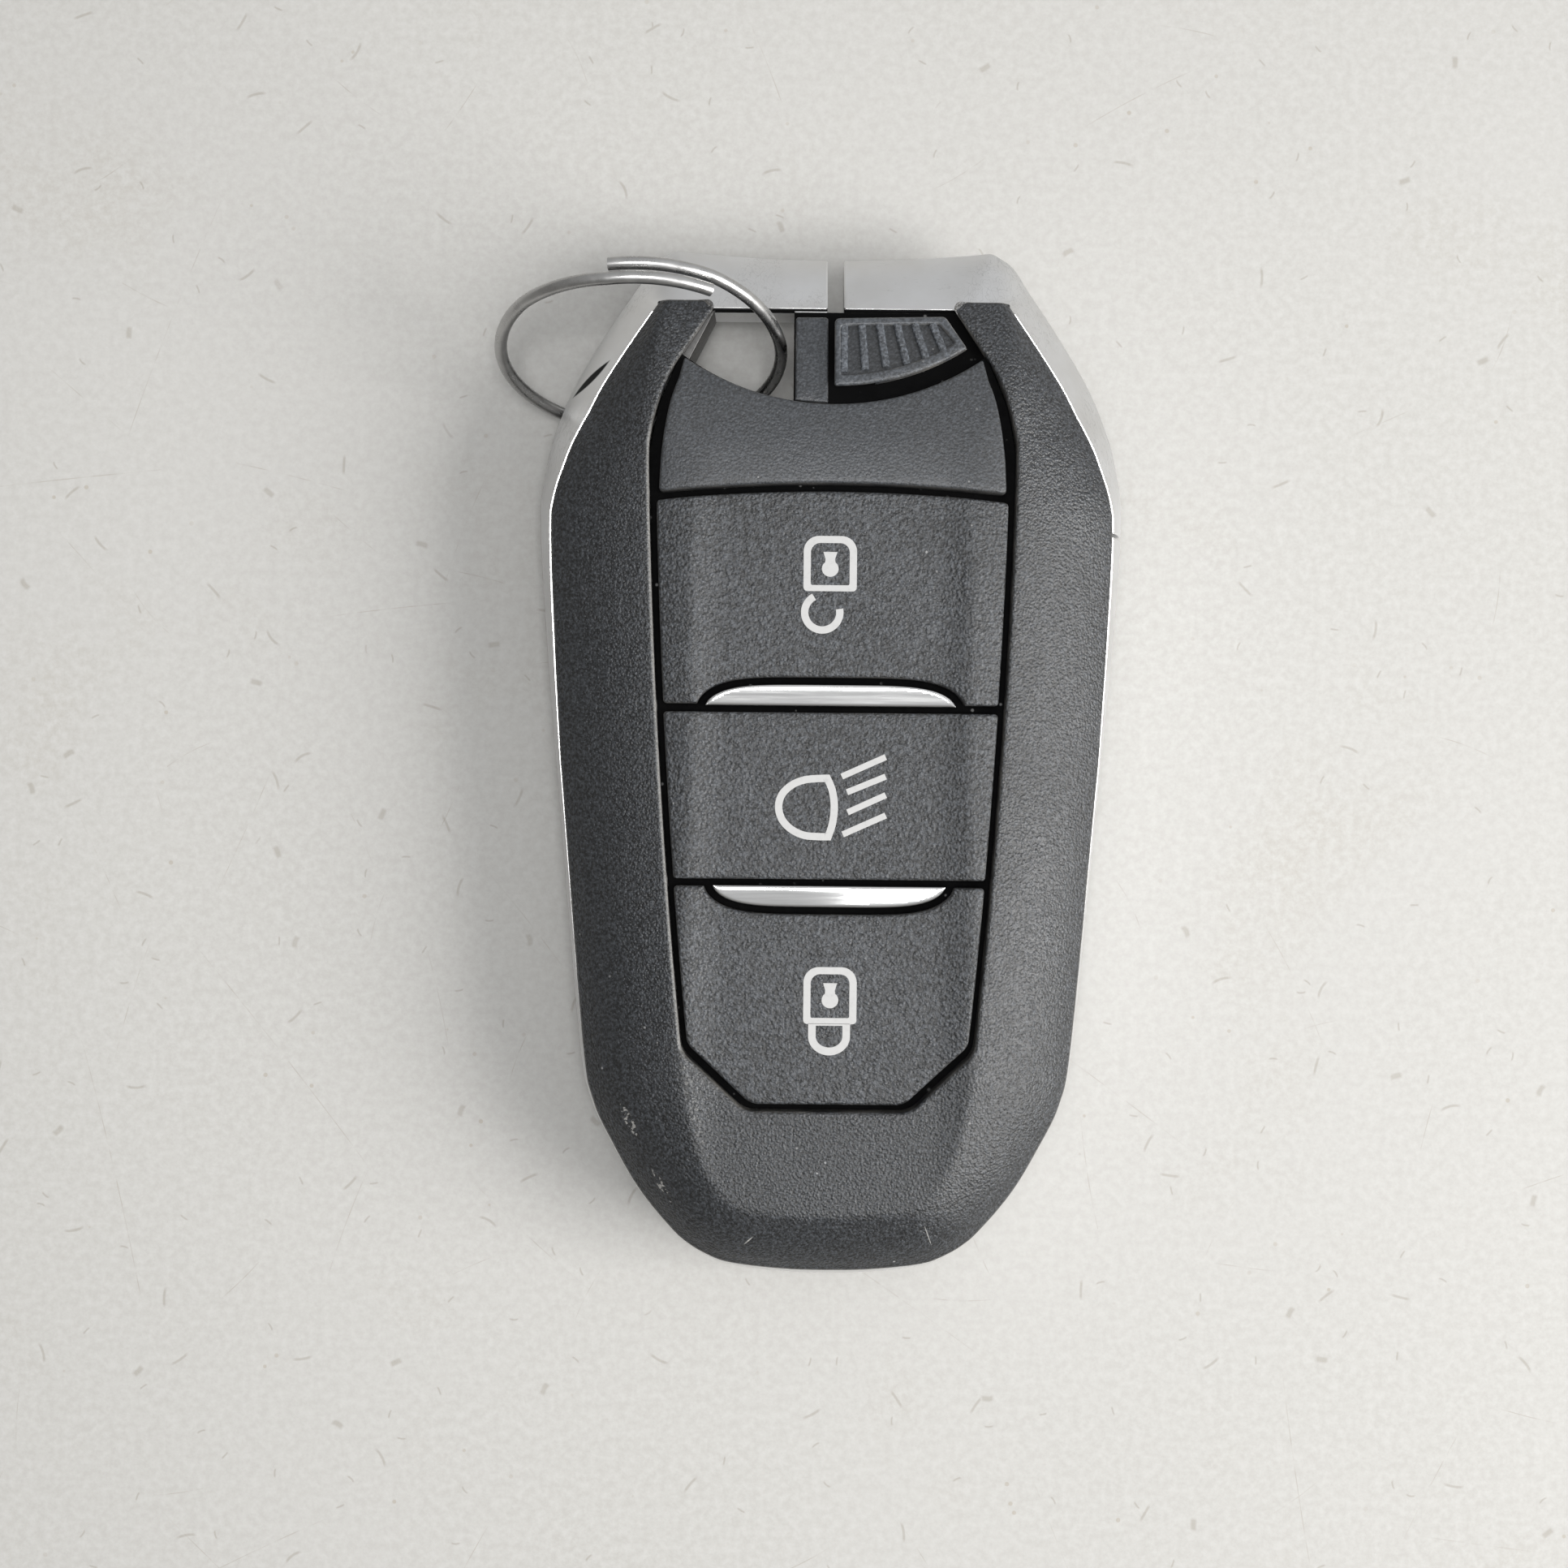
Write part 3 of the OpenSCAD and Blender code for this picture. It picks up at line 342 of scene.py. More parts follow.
def plate(outline, top, bottom, r=0.3, grid=0.45, steps=4, holes=(), foot=None):
    """A moulded piece: its plan outline, a height for its face, a height for its back and a rounded edge."""
    loops = [anticlockwise(np.asarray(outline, float))]
    loops += [anticlockwise(np.asarray(h, float))[::-1] for h in holes]
    height = top if callable(top) else (lambda p: np.full(len(p), float(top)))
    under = bottom if callable(bottom) else (lambda p: np.full(len(p), float(bottom)))
    verts, faces, rim_values, inner, base_rings = [], [], [], [], []
    for loop in loops:
        step = inward(loop)
        n = len(loop)
        rings = []
        round_r = soft_radius(loop, r)
        z0 = height(loop + step * round_r[:, None])
        for k in range(steps + 1):
            a = 0.5 * math.pi * k / steps
            p = loop + step * (round_r * (1 - math.cos(a)))[:, None]
            z = height(p) if k == steps else z0 * 0.5 + height(p) * 0.5
            rings.append(np.column_stack([p, z - round_r * (1 - math.sin(a))]))
        foot_loop = foot(loop) if foot else loop
        rows = [np.column_stack([foot_loop, under(loop)])] + rings
        start = len(verts)
        for row_no, row in enumerate(rows):
            verts += list(row)
            rim_values += [1.0 - max(row_no - 1, 0) / steps] * n
        for k in range(len(rows) - 1):
            for i in range(n):
                j = (i + 1) % n
                a, b = start + k * n, start + (k + 1) * n
                faces.append((a + i, a + j, b + j, b + i))
        inner.append((start + (len(rows) - 1) * n, rings[-1][:, :2]))
        base_rings.append((start, foot_loop))
    lo, hi = loops[0].min(axis=0), loops[0].max(axis=0)
    gx, gy = np.meshgrid(np.arange(lo[0], hi[0], grid), np.arange(lo[1], hi[1], grid * 0.866))
    gx = gx + (np.arange(gx.shape[0]) % 2)[:, None] * grid * 0.5
    pts = np.column_stack([gx.ravel(), gy.ravel()])
    keep = inside(pts, loops[0] + inward(loops[0]) * (r + 0.45 * grid))
    for loop in loops[1:]:
        keep &= ~inside(pts, loop[::-1] - inward(loop[::-1]) * (r + 0.45 * grid))
    pts = pts[keep]
    for ends, points, level, way in ((inner, pts, height, 1), (base_rings, np.empty((0, 2)), under, -1)):
        new, tri = fill([p if i == 0 else p[::-1] for i, (_, p) in enumerate(ends)], points)
        index = []
        for i, (start, p) in enumerate(ends):
            index += list(range(start, start + len(p)))[::1 if i == 0 else -1]
        points = np.vstack([points, new])
        if len(points):
            index += list(range(len(verts), len(verts) + len(points)))
            verts += list(np.column_stack([points, level(points)]))
            rim_values += [0.0] * len(points)
        index = np.array(index)
        faces += [tuple(index[f][::way]) for f in tri]
    return np.array(verts), faces, rim_values


def joined(*parts):
    """One mesh from several (verts, faces, rim values)."""
    verts, faces, rims, at = [], [], [], 0
    for v, f, r in parts:
        verts.append(v)
        faces += [tuple(i + at for i in face) for face in f]
        rims += list(r)
        at += len(v)
    return np.vstack(verts), faces, rims


def seat(obj, body, node):
    """Sets a piece on its body and the solid that it stands for."""
    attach(obj, body)
    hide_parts(node)


# Node trees

class Value:
    """A socket of a node tree. Sums and products of values add Math nodes."""

    def __init__(self, tree, socket):
        self.tree, self.socket = tree, socket

    def math(self, operation, other, swap=False):
        a, b = (other, self) if swap else (self, other)
        return self.tree.node("ShaderNodeMath", {0: a, 1: b}, operation=operation)

    def __add__(self, other):
        return self.math("ADD", other)

    __radd__ = __add__

    def __sub__(self, other):
        return self.math("SUBTRACT", other)

    def __rsub__(self, other):
        return self.math("SUBTRACT", other, True)

    def __mul__(self, other):
        return self.math("MULTIPLY", other)

    __rmul__ = __mul__

    def __pow__(self, other):
        return self.math("POWER", other)

    def __abs__(self):
        return self.math("ABSOLUTE", 0)

    def most(self, other):
        return self.math("MAXIMUM", other)


class Tree:
    """A node tree that is filled one node at a time."""

    def __init__(self, nodes):
        self.nodes = nodes

    def node(self, kind, inputs=None, out=0, **settings):
        """A new node with its settings, and with its inputs set or linked; out names its output."""
        made = self.nodes.nodes.new(kind)
        for key, value in settings.items():
            setattr(made, key, value)
        for key, value in (inputs or {}).items():
            if isinstance(value, Value):
                self.nodes.links.new(value.socket, made.inputs[key])
            else:
                made.inputs[key].default_value = value
        return Value(self, made.outputs[out]) if made.outputs else made


class Finish(Tree):
    """A material whose patterns are given in millimetres on the piece."""

    def __init__(self, name):
        self.material = bpy.data.materials.new(name)
        self.material.use_nodes = True
        super().__init__(self.material.node_tree)
        self.nodes.nodes.clear()
        self.where = self.node("ShaderNodeTexCoord", out="Object")

    def stretched(self, x, y, turn=0):
        """Place on the piece scaled along X and Y and turned about Z by degrees."""
        return self.node("ShaderNodeMapping", {"Vector": self.where, "Scale": (x, y, 1),
                                               "Rotation": (0, 0, math.radians(turn))})

    def noise(self, size, detail=2.0, rough=0.5, where=None):
        return self.node("ShaderNodeTexNoise", {"Vector": where or self.where, "Scale": 1000 / size,
                                                "Detail": detail, "Roughness": rough})

    def pebbles(self, size):
        """Distance to the middle of the nearest pebble, 0 to about 1."""
        return self.node("ShaderNodeTexVoronoi", {"Vector": self.where, "Scale": 1000 / size}, feature="F1")

    def span(self, value, lo, hi, to_lo=0.0, to_hi=1.0):
        """The value from lo to hi carried to another span and held at its ends."""
        return self.node("ShaderNodeMapRange", {"Value": value, 1: lo, 2: hi, 3: to_lo, 4: to_hi}, clamp=True)

    def fall(self, value, lo, hi):
        """1 where the value is under lo, 0 where it is over hi."""
        return self.span(value, lo, hi, 1.0, 0.0)

    def blend(self, factor, a, b):
        """Colour a where the factor is 0 and colour b where it is 1."""
        return self.node("ShaderNodeMix", {0: factor, 6: a, 7: b}, 2, data_type="RGBA")

    def scratches(self, size, length, turn, thin):
        """Fine lines along one direction: 1 on a line and 0 elsewhere."""
        line = self.noise(size, 1.0, 0.4, self.stretched(1, 1 / length, turn))
        return self.fall(abs(line - 0.5), 0.0, thin) * self.span(self.noise(9.0, 1.0), 0.52, 0.6)

    def place(self, points, radius):
        """1 near any of the places given in millimetres, 0 from the radius on."""
        total = None
        for p in points:
            away = self.node("ShaderNodeVectorMath", {0: self.where, 1: tuple(c * MM for c in p)}, "Value",
                             operation="DISTANCE")
            near = self.fall(away, radius * 0.25 * MM, radius * MM)
            total = near if total is None else total.most(near)
        return total

    def halves(self, local, length, width):
        """Places along and across a mark, 1 at half its length and half its width."""
        return [self.node("ShaderNodeSeparateXYZ", {0: local}, axis) * (2 / (size * MM))
                for axis, size in (("X", length), ("Y", width))]

    def strokes(self, cell, length, width, bend, keep):
        """One short bent scratch in each cell, turned at random; keep is the share of cells that have one."""
        middle = self.node("ShaderNodeTexVoronoi", {"Vector": self.where, "Scale": 1000 / cell}, "Position",
                           voronoi_dimensions="2D")
        chance = Value(self, middle.socket.node.outputs["Color"])
        turn, bow, there = [self.node("ShaderNodeSeparateColor", {0: chance}, part)
                            for part in ("Red", "Green", "Blue")]
        local = self.node("ShaderNodeVectorMath", {0: self.where, 1: middle}, operation="SUBTRACT")
        local = self.node("ShaderNodeVectorRotate", {"Vector": local, "Angle": turn * 6.283},
                          rotation_type="Z_AXIS")
        x, y = self.halves(local, length, width)
        off = abs(y + x * x * (bow - 0.5) * (bend * length / width))
        return self.fall(off, 0.5, 1.3) * self.fall(abs(x), 0.6, 1.0) * self.fall(there, keep, keep + 0.01)

    def lens(self, middle, length, width, turn):
        """1 in a long gap that narrows to its ends, seen from above."""
        at = {"Vector": self.where, "Location": tuple(c * MM for c in middle),
              "Rotation": (0, 0, math.radians(turn))}
        u, v = self.halves(self.node("ShaderNodeMapping", at, vector_type="TEXTURE"), length, width)
        return self.span(1.0 - u * u - abs(v), 0.0, 0.3)

    def edge(self):
        """1 along the rounded edge of a moulded piece, 0 on its face."""
        return self.node("ShaderNodeAttribute", out="Fac", attribute_name="rim")

    def surface(self, colour, roughness, height, depth, metallic=0.0, **other):
        """The shader: a height in depth millimetres makes its relief."""
        relief = self.node("ShaderNodeBump", {"Height": height, "Distance": depth * MM, "Strength": 1.0})
        inputs = {"Base Color": colour, "Roughness": roughness, "Metallic": metallic, "Normal": relief}
        for key, value in other.items():
            inputs[key.replace("_", " ")] = value
        shader = self.node("ShaderNodeBsdfPrincipled", inputs)
        self.node("ShaderNodeOutputMaterial", {"Surface": shader})
        return self.material


def grey(v, cool=0.0):
    """A grey, bluer with a positive cool and warmer with a negative one."""
    return (v * (1 - cool), v, v * (1 + 1.6 * cool), 1)


# Finishes

def grained_black(name, tone, grain, depth, rough, wear=0.5, marks=(), dust=0.5, bite=0.5):
    """Spark-eroded black moulding: pebbled grain, handled patches, paler edges, specks of dust, scuff marks
    and painted highlights on lit edges.
    """
    f = Finish(name)
    fine = f.noise(grain * 1.1, 3.0, 0.65)
    height = fine * 0.9 + f.fall(f.pebbles(grain), 0.0, 0.75) * 0.5
    patch = f.noise(9.0, 3.0, 0.55)
    dark = tone * (1 - 0.9 * bite)
    colour = f.blend(f.span(patch, 0.35, 0.7), grey(dark, 0.06), grey(dark * 1.2, 0.1))
    colour = f.blend(f.span(fine, 0.42, 0.7), colour, grey(tone * (1 + 2.4 * bite), 0.09))
    worn = f.edge() ** 2.0 * f.span(f.noise(2.2, 3.0, 0.6), 0.3, 0.7) * wear
    colour = f.blend(worn, colour, (0.17, 0.162, 0.15, 1))
    speck = f.fall(f.pebbles(1.9), 0.04, 0.06) * f.span(f.noise(14.0, 1.0), 0.46, 0.64)
    colour = f.blend(speck * dust, colour, grey(0.34))
    # Dots and line marks are scuffs; an edge mark paints a highlight on a lit rounded edge.
    for middle, length, width, turn, strength, kind in marks:
        rub = f.lens(middle, length, width, turn) * strength
        if kind == "dots":
            rub = rub * f.span(f.noise(0.4, 2.0, 0.6), 0.53, 0.6)
        if kind == "edge":
            rub = rub * f.edge()
        colour = f.blend(rub, colour, (0.29, 0.285, 0.275, 1))
    roughness = f.span(patch, 0.3, 0.75, rough + 0.07, rough - 0.07)
    return f.surface(colour, roughness, height, depth)


def satin_silver(name, tone, rough, grime, scuffs, seam_shadows):
    """Satin-plated moulding: fine flow marks, hairlines, scuffs, a little grime and seams painted dark as the
    shadow of a gap.
    """
    f = Finish(name)
    flow = f.noise(5.0, 4.0, 0.6)
    lines = f.scratches(0.5, 9.0, 25, 0.02).most(f.scratches(0.42, 12.0, -50, 0.018))
    colour = f.blend(f.span(flow, 0.35, 0.7), grey(tone * 0.94), grey(tone * 1.04, 0.01))
    colour = f.blend(f.span(f.noise(0.9, 4.0, 0.7), 0.66, 0.82) * grime * 0.5, colour, grey(tone * 0.45))
    colour = f.blend(lines * 0.5, colour, grey(tone * 0.6))
    rub = f.place(scuffs, 3.4) * f.span(f.noise(0.8, 4.0, 0.75, f.stretched(0.35, 1.5, 12)), 0.6, 0.68)
    colour = f.blend(rub * 0.45, colour, grey(tone * 0.5))
    roughness = f.span(flow, 0.3, 0.75, rough - 0.05, rough + 0.06) + lines * 0.12 + rub * 0.15
    # Each seam is a dark lens painted where the shadow of a gap falls.
    for seam in seam_shadows:
        gap = f.lens(*seam)
        colour = f.blend(gap, colour, grey(0.02))
        roughness = roughness + gap * 0.3
    return f.surface(colour, roughness, f.noise(0.35, 2.0, 0.5) + lines * 0.8, 0.002, 1.0)


def bright_metal(name, tone, rough, pits, streak=None, warm=0.0):
    """Polished metal with drawn streaks and pits."""
    f = Finish(name)
    drawn = f.noise(0.5, 4.0, 0.7, f.stretched(*streak)) if streak else f.noise(1.6, 4.0, 0.65)
    colour = f.blend(f.span(drawn, 0.3, 0.75), grey(tone * 0.8, -warm), grey(tone, -warm))
    pit = f.span(f.noise(0.35, 3.0, 0.7), 0.64, 0.76) * pits
    colour = f.blend(pit, colour, grey(tone * 0.35, -warm))
    roughness = f.span(drawn, 0.25, 0.8, rough * 0.7, rough * 1.5) + pit * 0.3
    return f.surface(colour, roughness, drawn + pit * 0.6, 0.002, 1.0)


def moulded(name, colour, rough, grain=0.4, depth=0.004, lint=0.0, **other):
    """Plain moulded plastic or rubber with a fine grain, an uneven tone and perhaps lint."""
    f = Finish(name)
    fine = f.noise(grain, 3.0, 0.6)
    low, high = [tuple(c * share for c in colour) + (1,) for share in (0.8, 1.2)]
    tone = f.blend(f.span(f.noise(4.0, 4.0, 0.6) * 0.6 + fine * 0.4, 0.35, 0.65), low, high)
    if lint:
        speck = f.fall(f.pebbles(0.9), 0.1, 0.16) * f.span(f.noise(3.0, 1.0), 0.52, 0.62)
        tone = f.blend(speck * lint, tone, grey(0.2))
    roughness = f.span(fine, 0.3, 0.7, rough - 0.06, rough + 0.06)
    return f.surface(tone, roughness, fine, depth, **other)


def printed_white(name):
    """Screen-printed marks: slightly thin ink with a pale grey tone."""
    f = Finish(name)
    thin = f.noise(0.4, 4.0, 0.7)
    colour = f.blend(f.span(thin, 0.55, 0.85), grey(0.36), grey(0.3))
    return f.surface(colour, f.span(thin, 0.3, 0.7, 0.5, 0.65), thin, 0.006)


def board_green(name):
    """Solder mask with traces and pads under it."""
    f = Finish(name)
    lanes = f.node("ShaderNodeTexVoronoi", {"Vector": f.stretched(1, 0.45), "Scale": 420.0},
                   feature="F1", distance="MANHATTAN")
    trace = f.span(lanes, 0.42, 0.46) * f.span(f.noise(3.0, 1.0), 0.42, 0.5)
    colour = f.blend(f.span(f.noise(3.0, 3.0), 0.3, 0.7), (0.008, 0.055, 0.022, 1), (0.012, 0.085, 0.034, 1))
    colour = f.blend(trace, colour, (0.03, 0.17, 0.06, 1))
    pads = f.fall(f.pebbles(2.6), 0.12, 0.14)
    colour = f.blend(pads, colour, (0.78, 0.6, 0.25, 1))
    return f.surface(colour, f.span(trace, 0, 1, 0.34, 0.28), trace + pads, 0.02, pads)


def wound_copper(name):
    """Enamelled wire laid turn by turn along X."""
    f = Finish(name)
    laid = {"Vector": f.where, "Scale": 1000 / 0.9, "Distortion": 0.25, "Detail": 1.0}
    turns = f.node("ShaderNodeTexWave", laid, wave_type="BANDS", bands_direction="X", wave_profile="SIN")
    colour = f.blend(turns, (0.16, 0.05, 0.02, 1), (0.78, 0.36, 0.18, 1))
    return f.surface(colour, f.span(turns, 0, 1, 0.5, 0.25), turns, 0.08, 1.0)


def worn_table(name):
    """Pale laminate with soft stains, short scratches in all directions and specks of grit."""
    f = Finish(name)
    cloud = f.noise(60.0, 3.0, 0.55)
    colour = f.blend(f.span(cloud, 0.3, 0.72), (0.325, 0.319, 0.303, 1), (0.347, 0.341, 0.33, 1))
    stain = f.span(f.noise(26.0, 5.0, 0.6), 0.56, 0.78)
    colour = f.blend(stain * 0.5, colour, (0.29, 0.272, 0.236, 1))
    mottle = f.noise(0.7, 3.0, 0.7)
    colour = f.blend(f.span(mottle, 0.35, 0.68), colour, (0.375, 0.371, 0.36, 1))
    worn = f.strokes(17.0, 11.0, 0.08, 0.1, 0.3)
    for stroke in ((11.0, 5.0, 0.08, 0.2, 0.3), (31.0, 26.0, 0.08, 0.06, 0.35)):
        worn = worn.most(f.strokes(*stroke))
    colour = f.blend(worn * f.span(f.noise(2.0, 2.0), 0.42, 0.6, 0.05, 0.55), colour, (0.25, 0.232, 0.2, 1))
    nick = f.strokes(9.0, 1.7, 0.22, 0.5, 0.4)
    for stroke in ((4.4, 0.8, 0.15, 0.5, 0.3), (13.0, 1.1, 0.45, 0.5, 0.4)):
        nick = nick.most(f.strokes(*stroke))
    colour = f.blend(nick * 0.45, colour, (0.2, 0.183, 0.15, 1))
    dot = f.fall(f.pebbles(2.9), 0.05, 0.07) * f.span(f.noise(11.0, 1.0), 0.45, 0.6)
    colour = f.blend(dot * 0.5, colour, (0.25, 0.22, 0.17, 1))
    return f.surface(colour, f.span(cloud, 0.3, 0.7, 0.45, 0.55), mottle, 0.008)


# Marks of wear, and one painted highlight along the lit left inner edge of the window: middle, length, width,
# turn, strength and kind.
case_marks = [((-14.7, -26.9, 0), 3.2, 0.75, -63, 0.9, "dots"),
              ((-12.2, -31.8, 0), 3.2, 0.6, -60, 0.8, "dots"),
              ((-5.7, -35.7, 0), 1.1, 0.12, 45, 0.8, "line"),
              ((7.6, -35.2, 0), 2.0, 0.08, -70, 0.8, "line"),
              ((-10.0, -25.1, 0), 10.0, 0.9, -77, 0.2, "dots"),
              # Painted highlight along the lit rounded left inner edge of the window.
              ((-12.4, -1, 0), 60.0, 3.4, 93, 0.65, "edge")]
rear_marks = [((9, -28, 0), 9.0, 0.3, 24, 0.8, "dots"),
              ((-13, 6, 0), 6.0, 0.25, 70, 0.8, "dots"),
              ((4, 22, 0), 12.0, 0.2, -12, 0.8, "dots")]
band_scuffs = [(4.6, 35.6, 8.6), (8.2, 36.2, 8.4), (6.2, 37.6, 7.6)]
# A dark lens painted on the left band where the shadow of the gap at the shoulder falls.
shoulder_seam_shadow = ((-18.3, 28.75, 0), 4.2, 0.6, 42)

case_black = grained_black("case_black", 0.0178, 0.21, 0.08, 0.37, 1.0, case_marks, 0.6, 0.75)
rear_black = grained_black("rear_black", 0.022, 0.26, 0.03, 0.54, 0.3, rear_marks)
panel_black = grained_black("panel_black", 0.0275, 0.2, 0.035, 0.44, bite=0.4)
button_black = grained_black("button_black", 0.0215, 0.24, 0.09, 0.43, bite=0.75)
slider_black = grained_black("slider_black", 0.042, 0.22, 0.03, 0.44, 1.0, dust=0.8, bite=0.4)
# Near black with almost no specular: painted shade on the band's groove floor, the web behind the buttons and
# the sunk floor beside the slider. Its lint specks are real.
bed_black = moulded("bed_black", (0.0016, 0.0016, 0.0018), 0.7, lint=0.7, Specular_IOR_Level=0.05)
core_black = moulded("core_black", (0.016, 0.016, 0.017), 0.5, 0.3, 0.01)
# The floor between the slider's grip ribs is painted darker than the slider, as shade between the ribs. Its
# specks are dust.
slot_black = grained_black("slot_black", 0.018, 0.22, 0.03, 0.5, dust=0.8, bite=0.4)
rib_black = grained_black("rib_black", 0.055, 0.22, 0.05, 0.42, dust=0.8)
eye_black = moulded("eye_black", (0.02, 0.019, 0.018), 0.4, 0.3, 0.01)
band_silver = satin_silver("band_silver", 0.74, 0.33, 0.5, band_scuffs, [shoulder_seam_shadow])
polished_edge = bright_metal("polished_edge", 0.8, 0.24, 0.2)
trim_chrome = bright_metal("trim_chrome", 0.86, 0.11, 0.16, (0.05, 1.6))
ring_zinc = bright_metal("ring_zinc", 0.5, 0.27, 0.4, None, 0.004)
print_white = printed_white("print_white")
steel = bright_metal("blade_steel", 0.72, 0.24, 0.2, (1.0, 0.04))
spring_steel = bright_metal("spring_steel", 0.66, 0.25, 0.2)
cell_steel = bright_metal("cell_steel", 0.76, 0.22, 0.12, (1.0, 0.12))
contact_gilt = bright_metal("contact_gilt", 0.78, 0.24, 0.15, (0.2, 1.0), 0.16)
crystal_can = bright_metal("crystal_can", 0.78, 0.2, 0.1, (0.3, 1))
carrier_grey = moulded("carrier_grey", (0.16, 0.165, 0.175), 0.5)
mat_rubber = moulded("mat_rubber", (0.05, 0.05, 0.055), 0.7, 0.2, 0.01)
switch_pale = moulded("switch_pale", (0.62, 0.6, 0.55), 0.42)
plunger_red = moulded("plunger_red", (0.42, 0.035, 0.025), 0.4)
ferrite = moulded("ferrite", (0.035, 0.034, 0.036), 0.55, 0.15, 0.01)
chip_black = moulded("chip_black", (0.018, 0.018, 0.02), 0.5, 0.12, 0.008)
board = board_green("board_green")
winding = wound_copper("winding_copper")
table_top = worn_table("table_top")


# Front pieces

def sunk(by):
    """A height this far under the front face."""
    return lambda p: face_height(p) - by


def circle_arc(cy, r, x0, x1, n, side):
    """Points of a circle about (0, cy) between two X places, on its upper (1) or lower (-1) side."""
    return [(x, cy + side * math.sqrt(r * r - x ** 2)) for x in np.linspace(x0, x1, n)]


def post(x, y, z0, z1, r, n=28):
    """A round stem, closed at both ends."""
    a = np.linspace(0, 2 * math.pi, n, endpoint=False)
    ring = np.column_stack([x + r * np.cos(a), y + r * np.sin(a)])
    verts = np.vstack([np.column_stack([ring, np.full(n, z0)]), np.column_stack([ring, np.full(n, z1)])])
    faces = [(i, (i + 1) % n, n + (i + 1) % n, n + i) for i in range(n)]
    faces += [tuple(range(n - 1, -1, -1)), tuple(range(n, 2 * n))]
    return verts, faces, [0.0] * (2 * n)


def bow(w, t, n=40):
    """Bowed edge of a trim bar over its flat edge."""
    u = np.sin(np.linspace(-math.pi / 2, math.pi / 2, n))
    return np.column_stack([u * w / 2, t * (1 - np.abs(u) ** 5) ** 0.6])


def add_plate(name, finish, body, slot, node, *parts):
    """A piece of one finish, made of plates and stems and seated on its body."""
    verts, faces, rims = joined(*parts)
    seat(new_mesh(name, verts, faces, [finish], rim_values=rims), body, node)


window_side = spline([(11, BAR_Y - 3.1), (12.1, BAR_Y - 4.9), (12.95, BAR_Y - 7.1), (13.5, BAR_Y - 9.4)]
                     + flank_points(WINDOW_Y1, WINDOW_Y0 + LOCK_CORNER, 0), 4)
arm_y = PART_Y1 + 0.35
arm_x = 11 - 5.1 * (arm_y - BAR_Y + 3.1) / 7.9
lock_x = window_x(WINDOW_Y0) - LOCK_CORNER + 0.2

outer_side = upper_rim[upper_rim[:, 1] < arm_y - 0.05]
frame_half = [(arm_x, arm_y, 0.5), (outer_side[0][0] - 0.02, arm_y, 0.7)] + corners(outer_side)
inner_half = (corners(window_side, 0, 1.8) + [(lock_x, WINDOW_Y0, 2.0)])[::-1]
frame_loop = frame_half + far_side(frame_half) + far_side(inner_half) + inner_half


def frame_under(p):
    """Back of the front frame, lower along its outside."""
    d = line_distance(folded(p), crest_line)
    return np.interp(d, [0.5, 3.0], [PART_Z + 0.1, WEB_Z - 0.6])


add_plate("front_frame", case_black, "case", "shell_black", "front_frame",
          plate(rounded(frame_loop), face_height, frame_under, r=0.24, grid=0.32))

# Web behind the buttons, and the sunk floor and strip beside the slider. The web and the sunk floor are near
# black, as painted shade.
web_half = corners([(13.0, 26.4)] + flank_points(WINDOW_Y1, WINDOW_Y0 + LOCK_CORNER, -0.2)
                   + [(lock_x + 0.2, WINDOW_Y0 - 0.2)])
web_loop = corners(circle_arc(ARC_Y, ARC_R, -11.4, 11.4, 40, -1)) + web_half + far_side(web_half)
floor_loop = corners(circle_arc(ARC_Y, ARC_R, EYE_X, 11.4, 30, -1)
                     + [(arm_x + 0.9, BAR_Y - 0.1), (EYE_X, BAR_Y - 0.1)])
strip_loop = (corners(circle_arc(ARC_Y, ARC_R, EYE_X + 0.1, -0.4, 12, -1))
              + [(-0.4, BAR_Y - 0.6, 0.25), (EYE_X + 0.1, BAR_Y - 0.6, 0.25)])
add_plate("frame_web", bed_black, "case", "shell_black", "front_frame",
          plate(rounded(web_loop, 0.8), WEB_Z, WEB_Z - 0.6, r=0.05, grid=3, steps=1),
          plate(rounded(floor_loop, 0.5), sunk(1.15), PART_Z + 0.1, r=0.08, grid=0.8, steps=2))
add_plate("slider_strip", panel_black, "case", "shell_black", "front_frame",
          plate(rounded(strip_loop), sunk(0.4), sunk(1.3), r=0.16, grid=0.5))

panel_side = corners(spline([(11.5, 28.3), (12.05, 26.7), (12.5, 24.4), (12.75, 22.2)], 5))
panel_low = circle_arc(UNLOCK_TOP - BOW_R, BOW_R + 0.7, -12.85, 12.85, 40, 1)[::-1]
panel_loop = (corners(circle_arc(ARC_Y, ARC_R + 0.1, -11.1, 11.1, 60, -1), 0.5, 0.5) + panel_side
              + corners(panel_low, 0.35, 0.35) + far_side(panel_side))
add_plate("front_panel", panel_black, "case", "panel_black", "front_panel",
          plate(rounded(panel_loop), sunk(0.075), WEB_Z + 0.05, r=0.2))


# Buttons: each is a cap on a stem, and two are notched for the trim bars.
def notch(w, y, side, edge):
    """Edge of a button along a trim bar, as far as it is clear of the button's straight edge."""
    points = [(x, y + side * dy) for x, dy in bow(w + NOTCH_W, BAR_T + NOTCH_T)]
    return [p for p in points if side * (p[1] - edge) > NOTCH_R]


